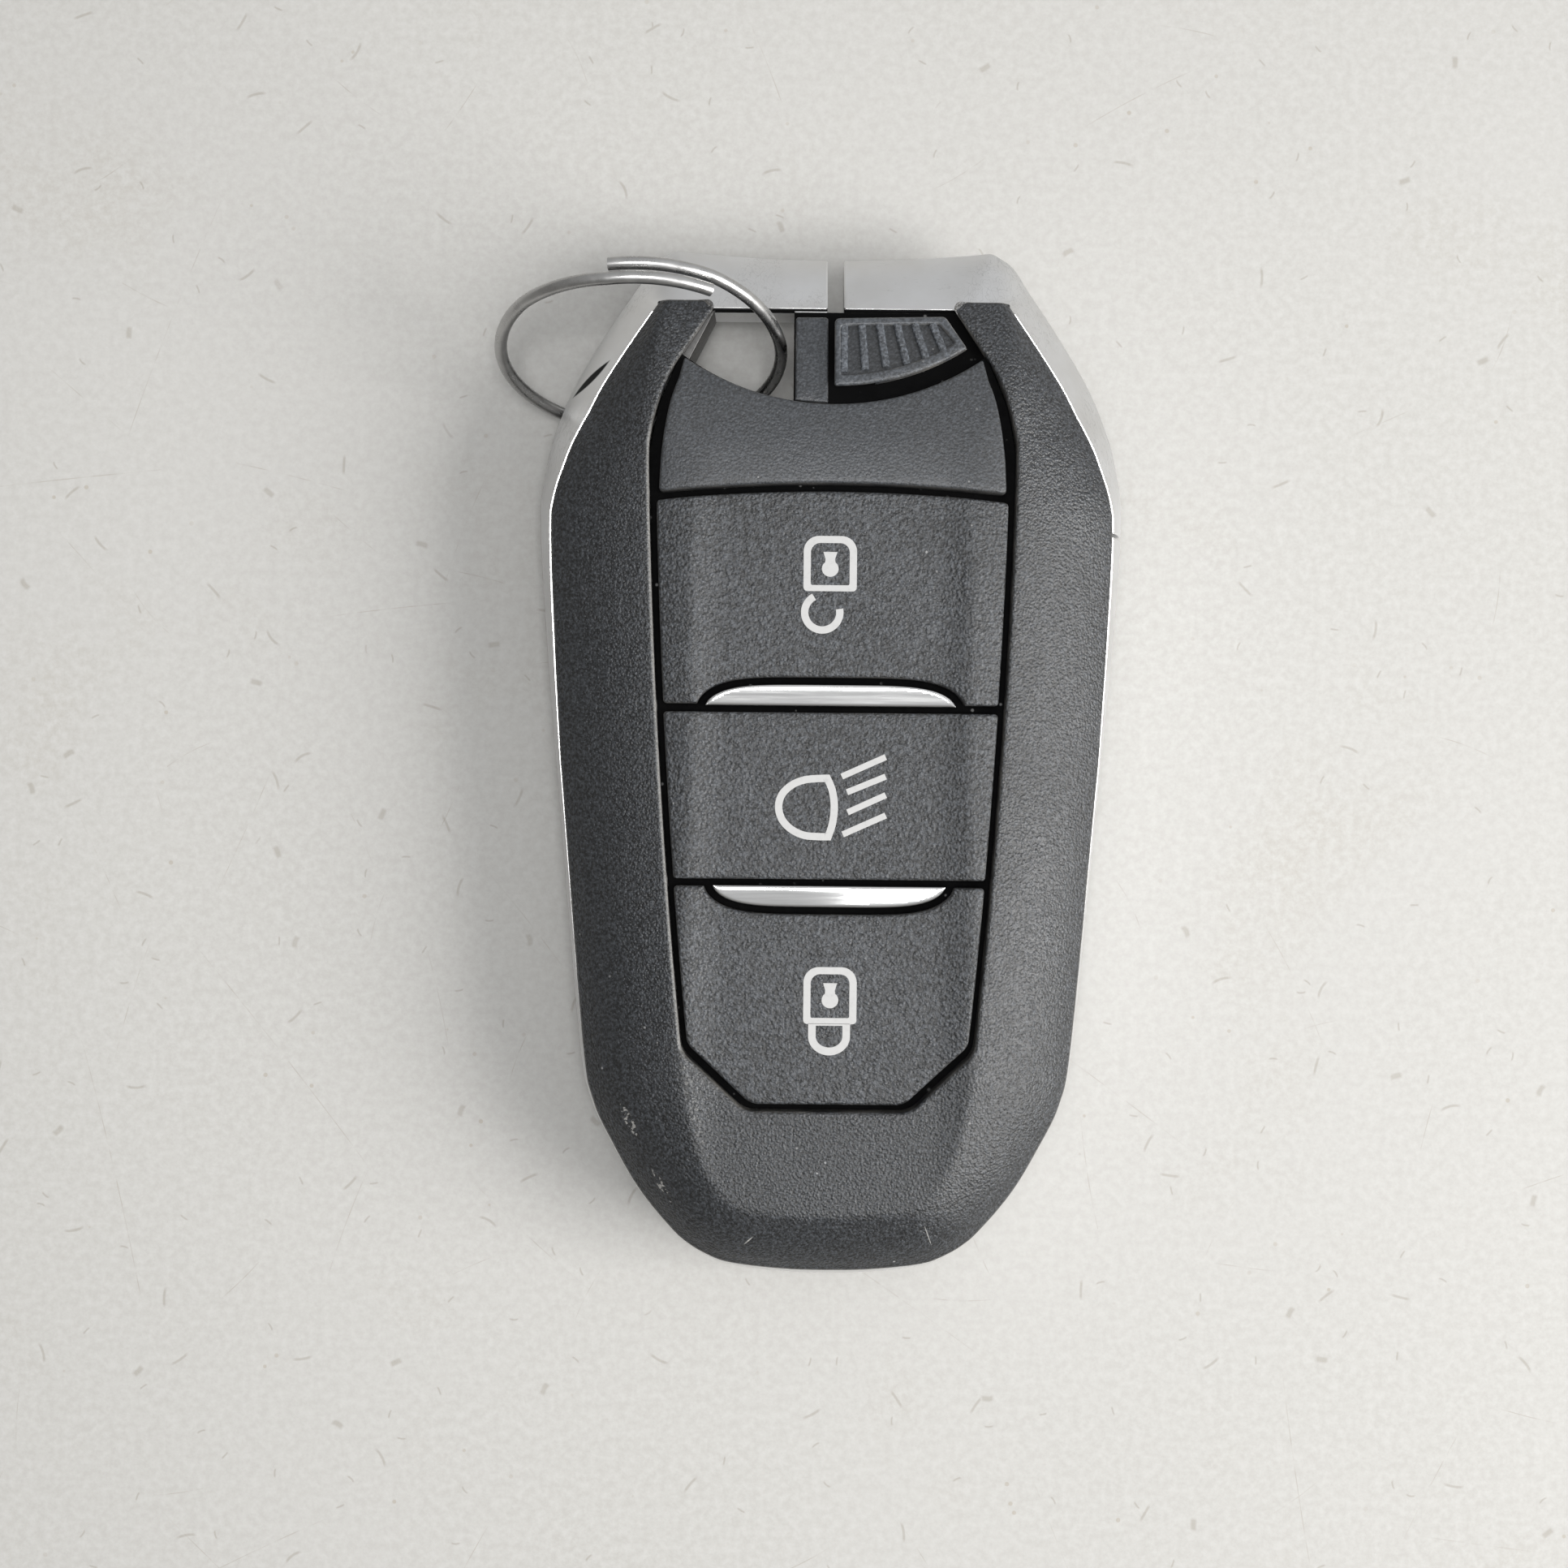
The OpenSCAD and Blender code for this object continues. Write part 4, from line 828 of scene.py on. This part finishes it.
upper_notch = notch(UPPER_BAR_W, UPPER_BAR_Y, 1, UNLOCK_Y0)
lower_notch = notch(LOWER_BAR_W, LOWER_BAR_Y, -1, LOCK_Y1)
unlock_half = corners(flank_points(UNLOCK_TOP - 1.6, UNLOCK_Y0 + 0.6, 0.55))
unlock_half += [(window_x(UNLOCK_Y0) - 0.55, UNLOCK_Y0, 0.25),
                (upper_notch[-1][0] + NOTCH_R, UNLOCK_Y0, NOTCH_R)]
unlock_loop = (corners(circle_arc(UNLOCK_TOP + 0.07 - BOW_R, BOW_R, -13.0, 13.0, 40, 1), 0.3, 0.3)
               + unlock_half + corners(upper_notch[::-1]) + far_side(unlock_half))
light_half = corners(flank_points(LIGHT_Y1 + 0.08, LIGHT_Y0 - 0.08, 0.52), 0.25, 0.25)
light_loop = light_half + far_side(light_half)
lock_half = ([(lower_notch[-1][0] + NOTCH_R, LOCK_Y1 + 0.07, NOTCH_R)]
             + corners(flank_points(LOCK_Y1 + 0.07, LOCK_Y0 + LOCK_CORNER, 0.5), 0.25, 1.5)
             + [(lock_x - 0.45, LOCK_Y0, 1.7)])
lock_loop = corners(lower_notch) + lock_half + far_side(lock_half)
for name, loop, stem_y, body in (("unlock_button", unlock_loop, 12.43, "unlock_key"),
                                 ("light_button", light_loop, -2.68, "light_key"),
                                 ("lock_button", lock_loop, -17.45, "lock_key")):
    add_plate(name, button_black, body, "button_black", name,
              plate(rounded(loop), sunk(0.15), CAP_Z0, r=0.2), post(0, stem_y, STEM_Z0, CAP_Z0 + 0.1, 1.5))


# Trim bars: a level strip along the upper side, and a face that leans to the nose.
def bar_height(x, v, side):
    """Height of a bar's face at X and at v above its middle line."""
    lean = 0.15 if side > 0 else np.interp(x, [-2.5, 2.5], [0.15, 0.045])
    return FACE_Z + 0.05 - lean * np.maximum(0.3 * BAR_T - v, 0)


for name, w, y, side in (("upper_trim_bar", UPPER_BAR_W, UPPER_BAR_Y, 1),
                         ("lower_trim_bar", LOWER_BAR_W, LOWER_BAR_Y, -1)):
    mid_y = y + side * BAR_T / 2
    bar_loop = corners((x, y + side * dy) for x, dy in bow(w, BAR_T))
    add_plate(name, trim_chrome, "case", "trim_chrome", name,
              plate(rounded(bar_loop, 0.2), lambda p: bar_height(p[:, 0], p[:, 1] - mid_y, side),
                    WEB_Z + 0.05, r=0.2, grid=0.16),
              *[post(s * w / 3, mid_y, WEB_Z - 0.6, WEB_Z + 0.1, 0.5, 16) for s in (-1, 1)])


# Printed marks

def ribbon(points, width):
    """Outline of an open stroke with square ends."""
    p = np.array(points, float)
    n = left_of(unit(np.gradient(p, axis=0))) * width / 2
    return np.vstack([p + n, (p - n)[::-1]])


def box_loop(x0, y0, x1, y1, low, high):
    """Upright rectangle with its lower and upper corners rounded."""
    return rounded([(x0, y0, low), (x1, y0, low), (x1, y1, high), (x0, y1, high)], 0.2)


def turn_points(cx, cy, rx, ry, a0, a1, n=40):
    """Points on an ellipse between two angles in degrees."""
    a = np.radians(np.linspace(a0, a1, n))
    return np.column_stack([cx + rx * np.cos(a), cy + ry * np.sin(a)])


def mark(outline, holes=()):
    """A printed shape, a hair proud of a button's face."""
    return plate(outline, sunk(0.125), sunk(0.2), r=0.012, grid=0.6, steps=1, holes=holes)


def keyhole(cx, cy, up):
    """Round eye with a flared foot above it."""
    eye = turn_points(cx, cy, 0.62, 0.6, 128, 412, 30)
    foot = [(cx + 0.36, cy + 0.72), (cx + 0.52, cy + up), (cx - 0.52, cy + up), (cx - 0.36, cy + 0.72)]
    return np.vstack([eye, foot])


def lock_body(cx, y0, high):
    """Lock body outline with rounded upper corners."""
    return mark(box_loop(cx - 1.97, y0, cx + 1.97, y0 + high, 0.3, 1.15),
                [box_loop(cx - 1.43, y0 + 0.46, cx + 1.43, y0 + high - 0.53, 0.12, 0.7)])


UNLOCK_X, LOCK_X = -0.14, 0.14
hook = ribbon(turn_points(-0.70, 10.88, 1.30, 1.30, 118, 372), 0.55)
unlock_mark = [lock_body(UNLOCK_X, 12.44, 4.09), mark(keyhole(UNLOCK_X, 14.11, 1.24)), mark(hook)]
shackle = np.vstack([[(LOCK_X - 1.59, -19.45)], turn_points(LOCK_X - 0.04, -20.4, 1.55, 1.41, 180, 360),
                     [(LOCK_X + 1.51, -19.45)]])
shackle_in = np.vstack([[(LOCK_X - 1.02, -19.62)], turn_points(LOCK_X - 0.04, -20.4, 0.98, 0.82, 180, 360),
                        [(LOCK_X + 0.94, -19.62)]])
lock_mark = [lock_body(LOCK_X, -19.5, 4.21), mark(keyhole(LOCK_X, -17.73, 1.26)), mark(shackle, [shackle_in])]

# D-shaped lamp, round towards the left and bowed on the right.
lamp_left = spline([(-0.04, -1.08), (-1.1, -1.12), (-2.1, -1.26), (-3.05, -1.7), (-3.78, -2.45),
                    (-4.06, -3.43), (-3.82, -4.45), (-3.12, -5.28), (-2.06, -5.82), (-0.95, -5.94),
                    (0.09, -5.94)], 5)
lamp_right = spline([(0.09, -5.94), (0.47, -4.75), (0.6, -3.4), (0.42, -2.15), (-0.04, -1.08)], 6)
lamp_outer = anticlockwise(np.vstack([lamp_left[:-1], lamp_right[:-1]]))
rays = [((0.85, -1.22), (4.09, 0.25)), ((1.25, -2.38), (4.1, -1.19)), ((1.3, -3.86), (4.12, -2.56)),
        ((0.96, -5.49), (4.13, -4.06))]
light_mark = [mark(lamp_outer, [lamp_outer + inward(lamp_outer) * 0.55])]
light_mark += [mark(ribbon(np.linspace(a, b, 8), 0.46)) for a, b in rays]
for name, parts, body, node in (("unlock_mark", unlock_mark, "unlock_key", "unlock_button"),
                                ("light_mark", light_mark, "light_key", "light_button"),
                                ("lock_mark", lock_mark, "lock_key", "lock_button")):
    add_plate(name, print_white, body, "button_black", node, *parts)


# Bright band

def band_sections():
    """Closed cross-sections of the band along its right half, from the ring end to the nose."""
    def row(line, z):
        return np.column_stack([line, np.full(len(rim), z)])
    outer = rim.copy()
    outer[:, 1] = np.minimum(outer[:, 1], RING_END - 0.06 - 0.64 * np.clip(1 - (outer[:, 0] / 12) ** 2, 0, 1))
    upper = rim - outward * upper_in[:, None]
    inner = rim - outward * np.maximum(2.2, upper_in + 0.05)[:, None]
    for line, limit in ((upper, BAR_Y + 0.3), (inner, BAR_Y)):
        c = int(np.argmax(line[:, 1] < limit))
        line[:c, 0] = rim[:c, 0] * line[c, 0] / rim[c, 0]
        line[:c, 1] = limit
    climb = END_RISE / (RING_END + 5 - RISE_Y - RISE_RUN)
    foot = np.maximum(BAND_Z0, REAR_H + (outer[:, 1] - RISE_Y - RISE_RUN) * climb)
    across = -outward.copy()
    across[:c] = (0, -1)
    ledge = np.interp(outer[:, 1], [FRONT_Y + 6, 0, 12], [0.02, 0.09, 0.13])[:, None]
    ledge[:c] = 0.02
    rows = [row(outer - outward * inset, foot + (WIDEST_Z - foot) * u)
            for u, inset in ((0, 0.76), (0.05, 0.6), (0.18, 0.42), (0.4, 0.2), (0.68, 0.06), (1, 0))]
    rows += [row(outer + (upper - across * ledge - outer) * v ** 1.22, WIDEST_Z + (PART_Z - WIDEST_Z) * v)
             for v in (0.22, 0.45, 0.66, 0.84, 0.95, 1)]
    rows += [row(upper + across * 0.05, PART_Z - 0.02), row(upper + across * 0.06, PART_Z - 0.6),
             row(inner, PART_Z - 0.6), row(inner, foot)]
    return np.stack(rows, axis=1)


def at_place(sections, t):
    """Sections at places between the stations."""
    i = np.clip(np.floor(t).astype(int), 0, len(sections) - 2)
    f = (np.asarray(t) - i)[:, None, None]
    return sections[i] * (1 - f) + sections[i + 1] * f


def swept(name, sections, body, node):
    """Solid through cross-sections, with a small bevel at both ends."""
    def eased(end, near):
        mid = end.mean(axis=0)
        back = near.mean(axis=0) - mid
        back /= np.linalg.norm(back)
        return [end + back * 0.1, end + unit(mid - end) * 0.1]
    first = eased(sections[0], sections[3])
    last = eased(sections[-1], sections[-4])
    s = np.concatenate([[first[1], first[0]], sections[2:-2], [last[0], last[1]]])
    n, m = s.shape[:2]
    faces, mats = [], []
    for i in range(n - 1):
        for k in range(m):
            j = (k + 1) % m
            faces.append((i * m + k, (i + 1) * m + k, (i + 1) * m + j, i * m + j))
            # The ledge faces take the polished edge, and the groove floor takes the near-black material that
            # paints its shade.
            mats.append({m - 5: 1, m - 3: 2}.get(k, 0))
    faces += [tuple(range(m)), tuple((n - 1) * m + k for k in range(m - 1, -1, -1))]
    mats += [0, 0]
    verts = s.reshape(-1, 3)
    v = [verts[[f[k] for f in faces[:-2]]] for k in range(3)]
    if np.sum(np.einsum("ij,ij->i", v[0], np.cross(v[1], v[2]))) < 0:
        faces = [f[::-1] for f in faces]
    obj = new_mesh(name, verts, faces, [band_silver, polished_edge, bed_black], mats, sharp=24)
    seat(obj, body, node)


right_band = band_sections()
steps_all = np.arange(len(rim), dtype=float)


def along(x=None, y=None):
    """Place on the half outline at an X near the ring end, or at a Y on the flank."""
    if x is not None:
        return float(np.interp(x, rim[:30, 0], steps_all[:30]))
    return float(np.interp(-y, -rim[:, 1], steps_all))


def between(a, b):
    """Places from a to b, with the whole stations between them."""
    return np.concatenate([[a], np.arange(math.floor(a) + 1, math.ceil(b)), [b]])


head_band = at_place(right_band, between(along(x=HEAD_X), along(y=HEAD_Y + 0.15)))
head_band[:, :, 0] = np.maximum(head_band[:, :, 0], HEAD_X)
head_band[0, :, 0] = HEAD_X
left_part = at_place(right_band, between(along(x=-SLOT_X), len(rim) - 1))
left_part[:30, :, 0] = np.maximum(left_part[:30, :, 0], -SLOT_X)
left_part[0, :, 0] = -SLOT_X
left_part = left_part * [-1, 1, 1]
right_part = at_place(right_band, between(along(y=HEAD_Y - 0.15), len(rim) - 1))[::-1]
swept("bezel", np.concatenate([left_part, right_part[1:]]), "case", "bezel")
swept("key_head", head_band, "emergency_key", "key_head")


def rise_at(y):
    """Height of the rear face where it climbs towards the ring end."""
    return np.interp(y, [RISE_Y, RISE_Y + RISE_RUN, RING_END + 5], [0, REAR_H, REAR_H + END_RISE])


# Block around the ring's eye, with the eye's rear wall slanted for the wire.
wall = right_band[:, -2, :2]
wall = wall[(wall[:, 1] <= BAR_Y - 0.2) & (wall[:, 1] > BLOCK_Y0 + 0.1)] * [-1, 1]
block_loop = ([(SLOT_X, BLOCK_Y0, 0.1), (SLOT_X, BAR_Y + 0.1, 0), (EYE_X, BAR_Y + 0.1, 0)]
              + corners(circle_arc(ARC_Y, ARC_R, EYE_X, -10.9, 16, -1) + [(-8.9, BAR_Y + 0.1)])
              + corners(wall - [0.05, 0]) + [(wall[-1][0], BLOCK_Y0, 0.1)])


def block_foot(p):
    """The arc of the eye leans back towards its foot."""
    out = p.copy()
    on_arc = (np.abs(np.hypot(p[:, 0], p[:, 1] - ARC_Y) - ARC_R) < 0.06) & (p[:, 0] < EYE_X + 0.01)
    out[on_arc, 1] = BAR_Y - 7.8
    return out


verts, faces, rims = plate(rounded(block_loop, 0.4), PART_Z, lambda p: np.maximum(BAND_Z0, rise_at(p[:, 1])),
                           r=0.12, grid=1.2, steps=3, foot=block_foot)
on_left = [1 if verts[list(face), 0].mean() < -7.4 else 0 for face in faces]
eye_block = new_mesh("eye_block", verts, faces, [band_silver, eye_black], on_left, rim_values=rims)
seat(eye_block, "case", "bezel")


# Rear pieces

def turned_over(part):
    """The same plate with its face downwards."""
    verts, faces, rims = part
    return verts * [1, 1, -1], [f[::-1] for f in faces], rims


def rear_depth(p):
    """The rear face, rounded up to the band and rising to the ring end, measured downwards."""
    d = line_distance(folded(p), rim) - RIM_IN
    z = np.interp(d, [0, 0.12, 0.3, 0.6, 0.95, 1.4, 2.0, 2.6, 3.2],
                  [REAR_H, 2.95, 2.45, 1.9, 1.42, 0.95, 0.48, 0.15, 0])
    return soft_min(-z, -rise_at(p[:, 1]), 0.5)


def rounded_rect(w, length, r, step=0.6):
    """Outline of a rectangle about the middle with rounded corners."""
    x, y = w / 2, length / 2
    return rounded([(x, y, r), (-x, y, r), (-x, -y, r), (x, -y, r)], step)


under_rim = rim - outward * RIM_IN
under_rim = under_rim[under_rim[:, 1] < RISE_Y + 7]
rear_half = [(under_rim[0][0] + 0.02, RISE_Y + 7, 0.3)] + corners(under_rim)
rear_loop = rear_half + far_side(rear_half)
add_plate("rear_shell", rear_black, "case", "shell_black", "rear_shell",
          turned_over(plate(rounded(rear_loop, 0.35), rear_depth, -REAR_H, r=0.1, grid=0.6, steps=2,
                            holes=[rounded_rect(COVER_W + 0.3, COVER_L + 0.3, 4.15, 0.5)])),
          turned_over(plate(rounded_rect(COVER_W + 0.5, COVER_L + 0.5, 4.2), -0.7, -1.3, r=0.05, grid=4,
                            steps=1, holes=[rounded_rect(COVER_W - 2, COVER_L - 2, 3)])))
cover_x, cover_y = COVER_W / 2, COVER_L / 2
cover_loop = ([(cover_x, cover_y, 4), (-cover_x, cover_y, 4), (-cover_x, -cover_y, 4), (-2.55, -cover_y, 0.3)]
              + corners(turn_points(0, 0.2 - cover_y, 2.5, 2.5, 176, 4, 24))
              + [(2.55, -cover_y, 0.3), (cover_x, -cover_y, 4)])
add_plate("rear_cover", rear_black, "cover", "shell_black", "rear_cover",
          turned_over(plate(rounded(cover_loop, 0.4), 0.0, -0.65, r=0.2, grid=2)),
          turned_over(plate(rounded_rect(COVER_W - 2.3, COVER_L - 2.3, 3), -0.35, -1.3, r=0.1, grid=3,
                            steps=2)))


# Slider, ring and spring

class Maker(Tree):
    """A Geometry Nodes tree with named sizes."""

    def __init__(self, name, sizes):
        group = bpy.data.node_groups.new(name, "GeometryNodeTree")
        super().__init__(group)
        group.interface.new_socket("Geometry", in_out="INPUT", socket_type="NodeSocketGeometry")
        self.ids = {}
        for label, (kind, value) in sizes.items():
            made = group.interface.new_socket(label, in_out="INPUT", socket_type=kind)
            made.default_value = value
            self.ids[label] = made.identifier
        group.interface.new_socket("Geometry", in_out="OUTPUT", socket_type="NodeSocketGeometry")
        self.given = group.nodes.new("NodeGroupInput")

    def size(self, label):
        return Value(self, self.given.outputs[label])

    def close(self, geometry, material):
        real = self.node("GeometryNodeRealizeInstances", {"Geometry": geometry})
        done = self.node("GeometryNodeSetMaterial", {"Geometry": real, "Material": material})
        self.node("NodeGroupOutput", {0: done})

    def build(self, name, source, sizes):
        """Plain mesh object that the tree makes from the source with these sizes."""
        seed = placed(name + "_seed", source)
        form = seed.modifiers.new("form", "NODES")
        form.node_group = self.nodes
        for label, value in sizes.items():
            form[self.ids[label]] = value
        seen = seed.evaluated_get(bpy.context.evaluated_depsgraph_get())
        mesh = bpy.data.meshes.new_from_object(seen)
        bpy.data.objects.remove(seed)
        smoothed(mesh, 40)
        return placed(name, mesh)


def wire_maker(name, material):
    """Round wire along a path."""
    m = Maker(name, {"Wire diameter": ("NodeSocketFloat", 0.001), "Sides": ("NodeSocketInt", 16)})
    section = m.node("GeometryNodeCurvePrimitiveCircle",
                     {"Resolution": m.size("Sides"), "Radius": m.size("Wire diameter") * 0.5})
    tube = m.node("GeometryNodeCurveToMesh",
                  {"Curve": m.size("Geometry"), "Profile Curve": section, "Fill Caps": True})
    m.close(tube, material)
    return m


def path_curve(name, points):
    """Open curve through points in millimetres."""
    curve = bpy.data.curves.new(name, "CURVE")
    curve.dimensions = "3D"
    line = curve.splines.new("POLY")
    line.points.add(len(points) - 1)
    for p, q in zip(line.points, points):
        p.co = (*(np.asarray(q) * MM), 1)
    return curve


# The ring is one turn of wire and a lap, and it leans over the end bar.
ring_lean, ring_lap, lap_at, ring_r, lap_step = math.radians(63.6), 42, 80, 10.53, 0.625
ring_mid = np.array([-14.45, 30.5, 9.98])
ring_axis = np.array([0, -math.sin(ring_lean), math.cos(ring_lean)])
ring_path = []
lap_u = ring_lap / (360 + ring_lap)
for u in np.linspace(0, 1, 260):
    a = math.radians(lap_at - ring_lap / 2 + u * (360 + ring_lap))
    side = lap_step * np.interp(u, [0, lap_u, 2 * lap_u, 1 - 2 * lap_u, 1 - lap_u, 1], [1, 1, 0, 0, -1, -1])
    around = np.array([math.cos(a), math.sin(a) * math.cos(ring_lean), math.sin(a) * math.sin(ring_lean)])
    ring_path.append(ring_mid + ring_r * around + side * ring_axis)
ring = wire_maker("ring_wire", ring_zinc).build(
    "key_ring", path_curve("ring_path", ring_path), {"Wire diameter": 0.00097, "Sides": 20})
seat(ring, "ring", "key_ring")

# The spring is five turns along X, under the slider.
spring_r, spring_len, spring_start = 0.625, 3.85, (1.985, 30.55, 8.95)
spring_path = []
for u in np.linspace(0, 1, 181):
    turn = 10 * math.pi * u
    away = np.array([u * spring_len, spring_r * math.cos(turn), spring_r * math.sin(turn)])
    spring_path.append(spring_start + away)
spring = wire_maker("spring_wire", spring_steel).build(
    "slider_spring", path_curve("spring_path", spring_path), {"Wire diameter": 0.00025, "Sides": 10})
seat(spring, "case", "slider_spring")
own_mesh(spring)

slider_arc = circle_arc(ARC_Y, 18.05, 0.06, 9.9, 30, -1)
slider_loop = [(0.06, 32.95, 0.4)] + corners(slider_arc, 0.7, 0.7) + [(8.3, 33.15, 0.5)]
inner_arc = circle_arc(ARC_Y, 17.25, 0.55, 9.0, 30, -1)
inner_loop = [(0.55, 32.35, 0.3)] + corners(inner_arc, 0.4, 0.4) + [(7.85, 32.55, 0.3)]
foot_loop = [(2.8, 32.9, 0.2)] + corners(p for p in slider_arc if p[0] > 2.8) + [(8.3, 32.9, 0.5)]
add_plate("release_slider", slider_black, "slider", "shell_black", "release_slider",
          plate(rounded(slider_loop, 0.2), sunk(-0.28), sunk(0.1), r=0.2, grid=0.3,
                holes=[rounded(inner_loop, 0.2)]),
          plate(rounded(foot_loop, 0.3), sunk(0.2), sunk(1.0), r=0.05, grid=0.8, steps=1))


def rib_maker(name, material):
    """Fanned ribs in a row, each tilted with the face."""
    real = "NodeSocketFloat"
    m = Maker(name, {"Count": ("NodeSocketInt", 6), "Pitch": (real, 0.00132), "Fan": (real, 0.077),
                     "Length": (real, 0.0039), "Width": (real, 0.0006), "Shorter": (real, 0.05),
                     "Tilt": (real, 0.27), "Start": ("NodeSocketVector", (0, 0, 0))})
    place = m.node("GeometryNodeInputIndex")
    step = m.node("ShaderNodeCombineXYZ", {"X": m.size("Pitch")})
    row = m.node("GeometryNodeMeshLine",
                 {"Count": m.size("Count"), "Offset": step, "Start Location": m.size("Start")})
    end = m.node("ShaderNodeCombineXYZ", {"Y": m.size("Length") * -1.0})
    line = m.node("GeometryNodeCurvePrimitiveLine", {"End": end})
    shape = m.node("GeometryNodeCurvePrimitiveQuadrilateral",
                   {"Width": m.size("Width"), "Height": m.size("Width")})
    shape = m.node("GeometryNodeFilletCurve",
                   {"Curve": shape, "Count": 3, "Radius": m.size("Width") * 0.3}, mode="POLY")
    rib = m.node("GeometryNodeCurveToMesh", {"Curve": line, "Profile Curve": shape, "Fill Caps": True})
    turn = m.node("ShaderNodeCombineXYZ", {"X": m.size("Tilt"), "Z": place * m.size("Fan")})
    long = m.node("ShaderNodeCombineXYZ", {"X": 1.0, "Y": 1.0 - place * m.size("Shorter"), "Z": 1.0})
    ribs = m.node("GeometryNodeInstanceOnPoints",
                  {"Points": row, "Instance": rib, "Rotation": turn, "Scale": long})
    m.close(ribs, material)
    return m


# Floor inside the slider's rim, in the darker painted shade between the ribs.
add_plate("slider_floor", slot_black, "slider", "shell_black", "release_slider",
          plate(rounded(slider_loop, 0.2), sunk(0.0), sunk(0.25), r=0.05, grid=0.4, steps=1))
rib_y = 32.5
rib_z = float(face_height(np.array([[0.7, rib_y]]))[0]) - 0.06
grip = rib_maker("grip_ribs", rib_black).build(
    "slider_grip", bpy.data.meshes.new("grip_seed"),
    {"Start": (0.75 * MM, rib_y * MM, rib_z * MM), "Tilt": -0.27})
seat(grip, "slider", "release_slider")

# Finishes of the pieces that keep their solids.
for node, finish in (
        ("key_core", core_black), ("key_blade", steel), ("blade_pin", spring_steel),
        ("inner_carrier", carrier_grey), ("circuit_board", board), ("keypad_mat", mat_rubber),
        ("switch_bodies", switch_pale), ("unlock_plunger", plunger_red), ("light_plunger", plunger_red),
        ("lock_plunger", plunger_red), ("coin_cell", cell_steel), ("positive_contact", contact_gilt),
        ("negative_contact", contact_gilt), ("antenna_core", ferrite), ("antenna_winding", winding),
        ("control_chip", chip_black), ("crystal", crystal_can)):
    for held in frame["nodes"][node].material_slots:
        held.material = finish

# Floor, light and camera
table_half, table_z = 1.6, -0.00003
table_corners = [(x * table_half, y * table_half, table_z) for x, y in ((-1, -1), (1, -1), (1, 1), (-1, 1))]
table = bpy.data.meshes.new("table_top")
table.from_pydata(table_corners, [], [(0, 1, 2, 3)])
table.materials.append(table_top)
floor = placed("table_top", table)

world = bpy.data.worlds.new("room")
bpy.context.scene.world = world
world.use_nodes = True
world.node_tree.nodes.clear()
room = Tree(world.node_tree)
seen = room.node("ShaderNodeLightPath", out="Is Camera Ray")
way = room.node("ShaderNodeTexCoord", out="Generated")


def towards(direction, lo, hi):
    """1 in one direction of the room, falling to 0 away from it."""
    near = room.node("ShaderNodeVectorMath", {0: way, 1: direction}, "Value", operation="DOT_PRODUCT")
    return room.node("ShaderNodeMapRange", {"Value": near, 1: lo, 2: hi}, clamp=True)


glow = towards((0.75, 0.4, 0.53), -0.5, 0.95) * (1.0 - towards((0, -0.97, 0.25), 0.6, 0.95) * 0.75)
dim = room.node("ShaderNodeBackground", {"Color": (1, 0.98, 0.94, 1), "Strength": 0.25})
bright = room.node("ShaderNodeBackground", {"Color": (0.98, 0.99, 1, 1), "Strength": 0.78})
pale = room.node("ShaderNodeBackground", {"Color": (0.86, 0.85, 0.83, 1), "Strength": 0.9})
around = room.node("ShaderNodeMixShader", {0: glow, 1: dim, 2: bright})
both = room.node("ShaderNodeMixShader", {0: seen, 1: around, 2: pale})
room.node("ShaderNodeOutputWorld", {"Surface": both})


def soft_light(name, where, size, power, colour):
    """A square lamp that faces the middle of the part."""
    lamp = bpy.data.lights.new(name, "AREA")
    lamp.shape, lamp.size, lamp.energy, lamp.color = "SQUARE", size, power, colour
    obj = placed(name, lamp)
    obj.location = where
    obj.rotation_euler = (-Vector(where)).to_track_quat("-Z", "Y").to_euler()


soft_light("window_light", (0.52, -0.15, 0.40), 0.4, 7.4, (1.0, 0.985, 0.96))
soft_light("ceiling_light", (0.0, -0.005, 0.55), 0.14, 1.55, (0.99, 0.988, 0.98))

camera = bpy.data.cameras.new("photo_view")
camera.sensor_width, camera.lens = 36.0, 70.19
camera.clip_start, camera.clip_end = 0.01, 10
eye = placed("photo_view", camera)
eye.location = (-0.003395, -0.00181, 0.240)
eye.rotation_euler = (0, 0, math.radians(0.55))
bpy.context.scene.camera = eye
bpy.context.scene.view_settings.view_transform = "Standard"
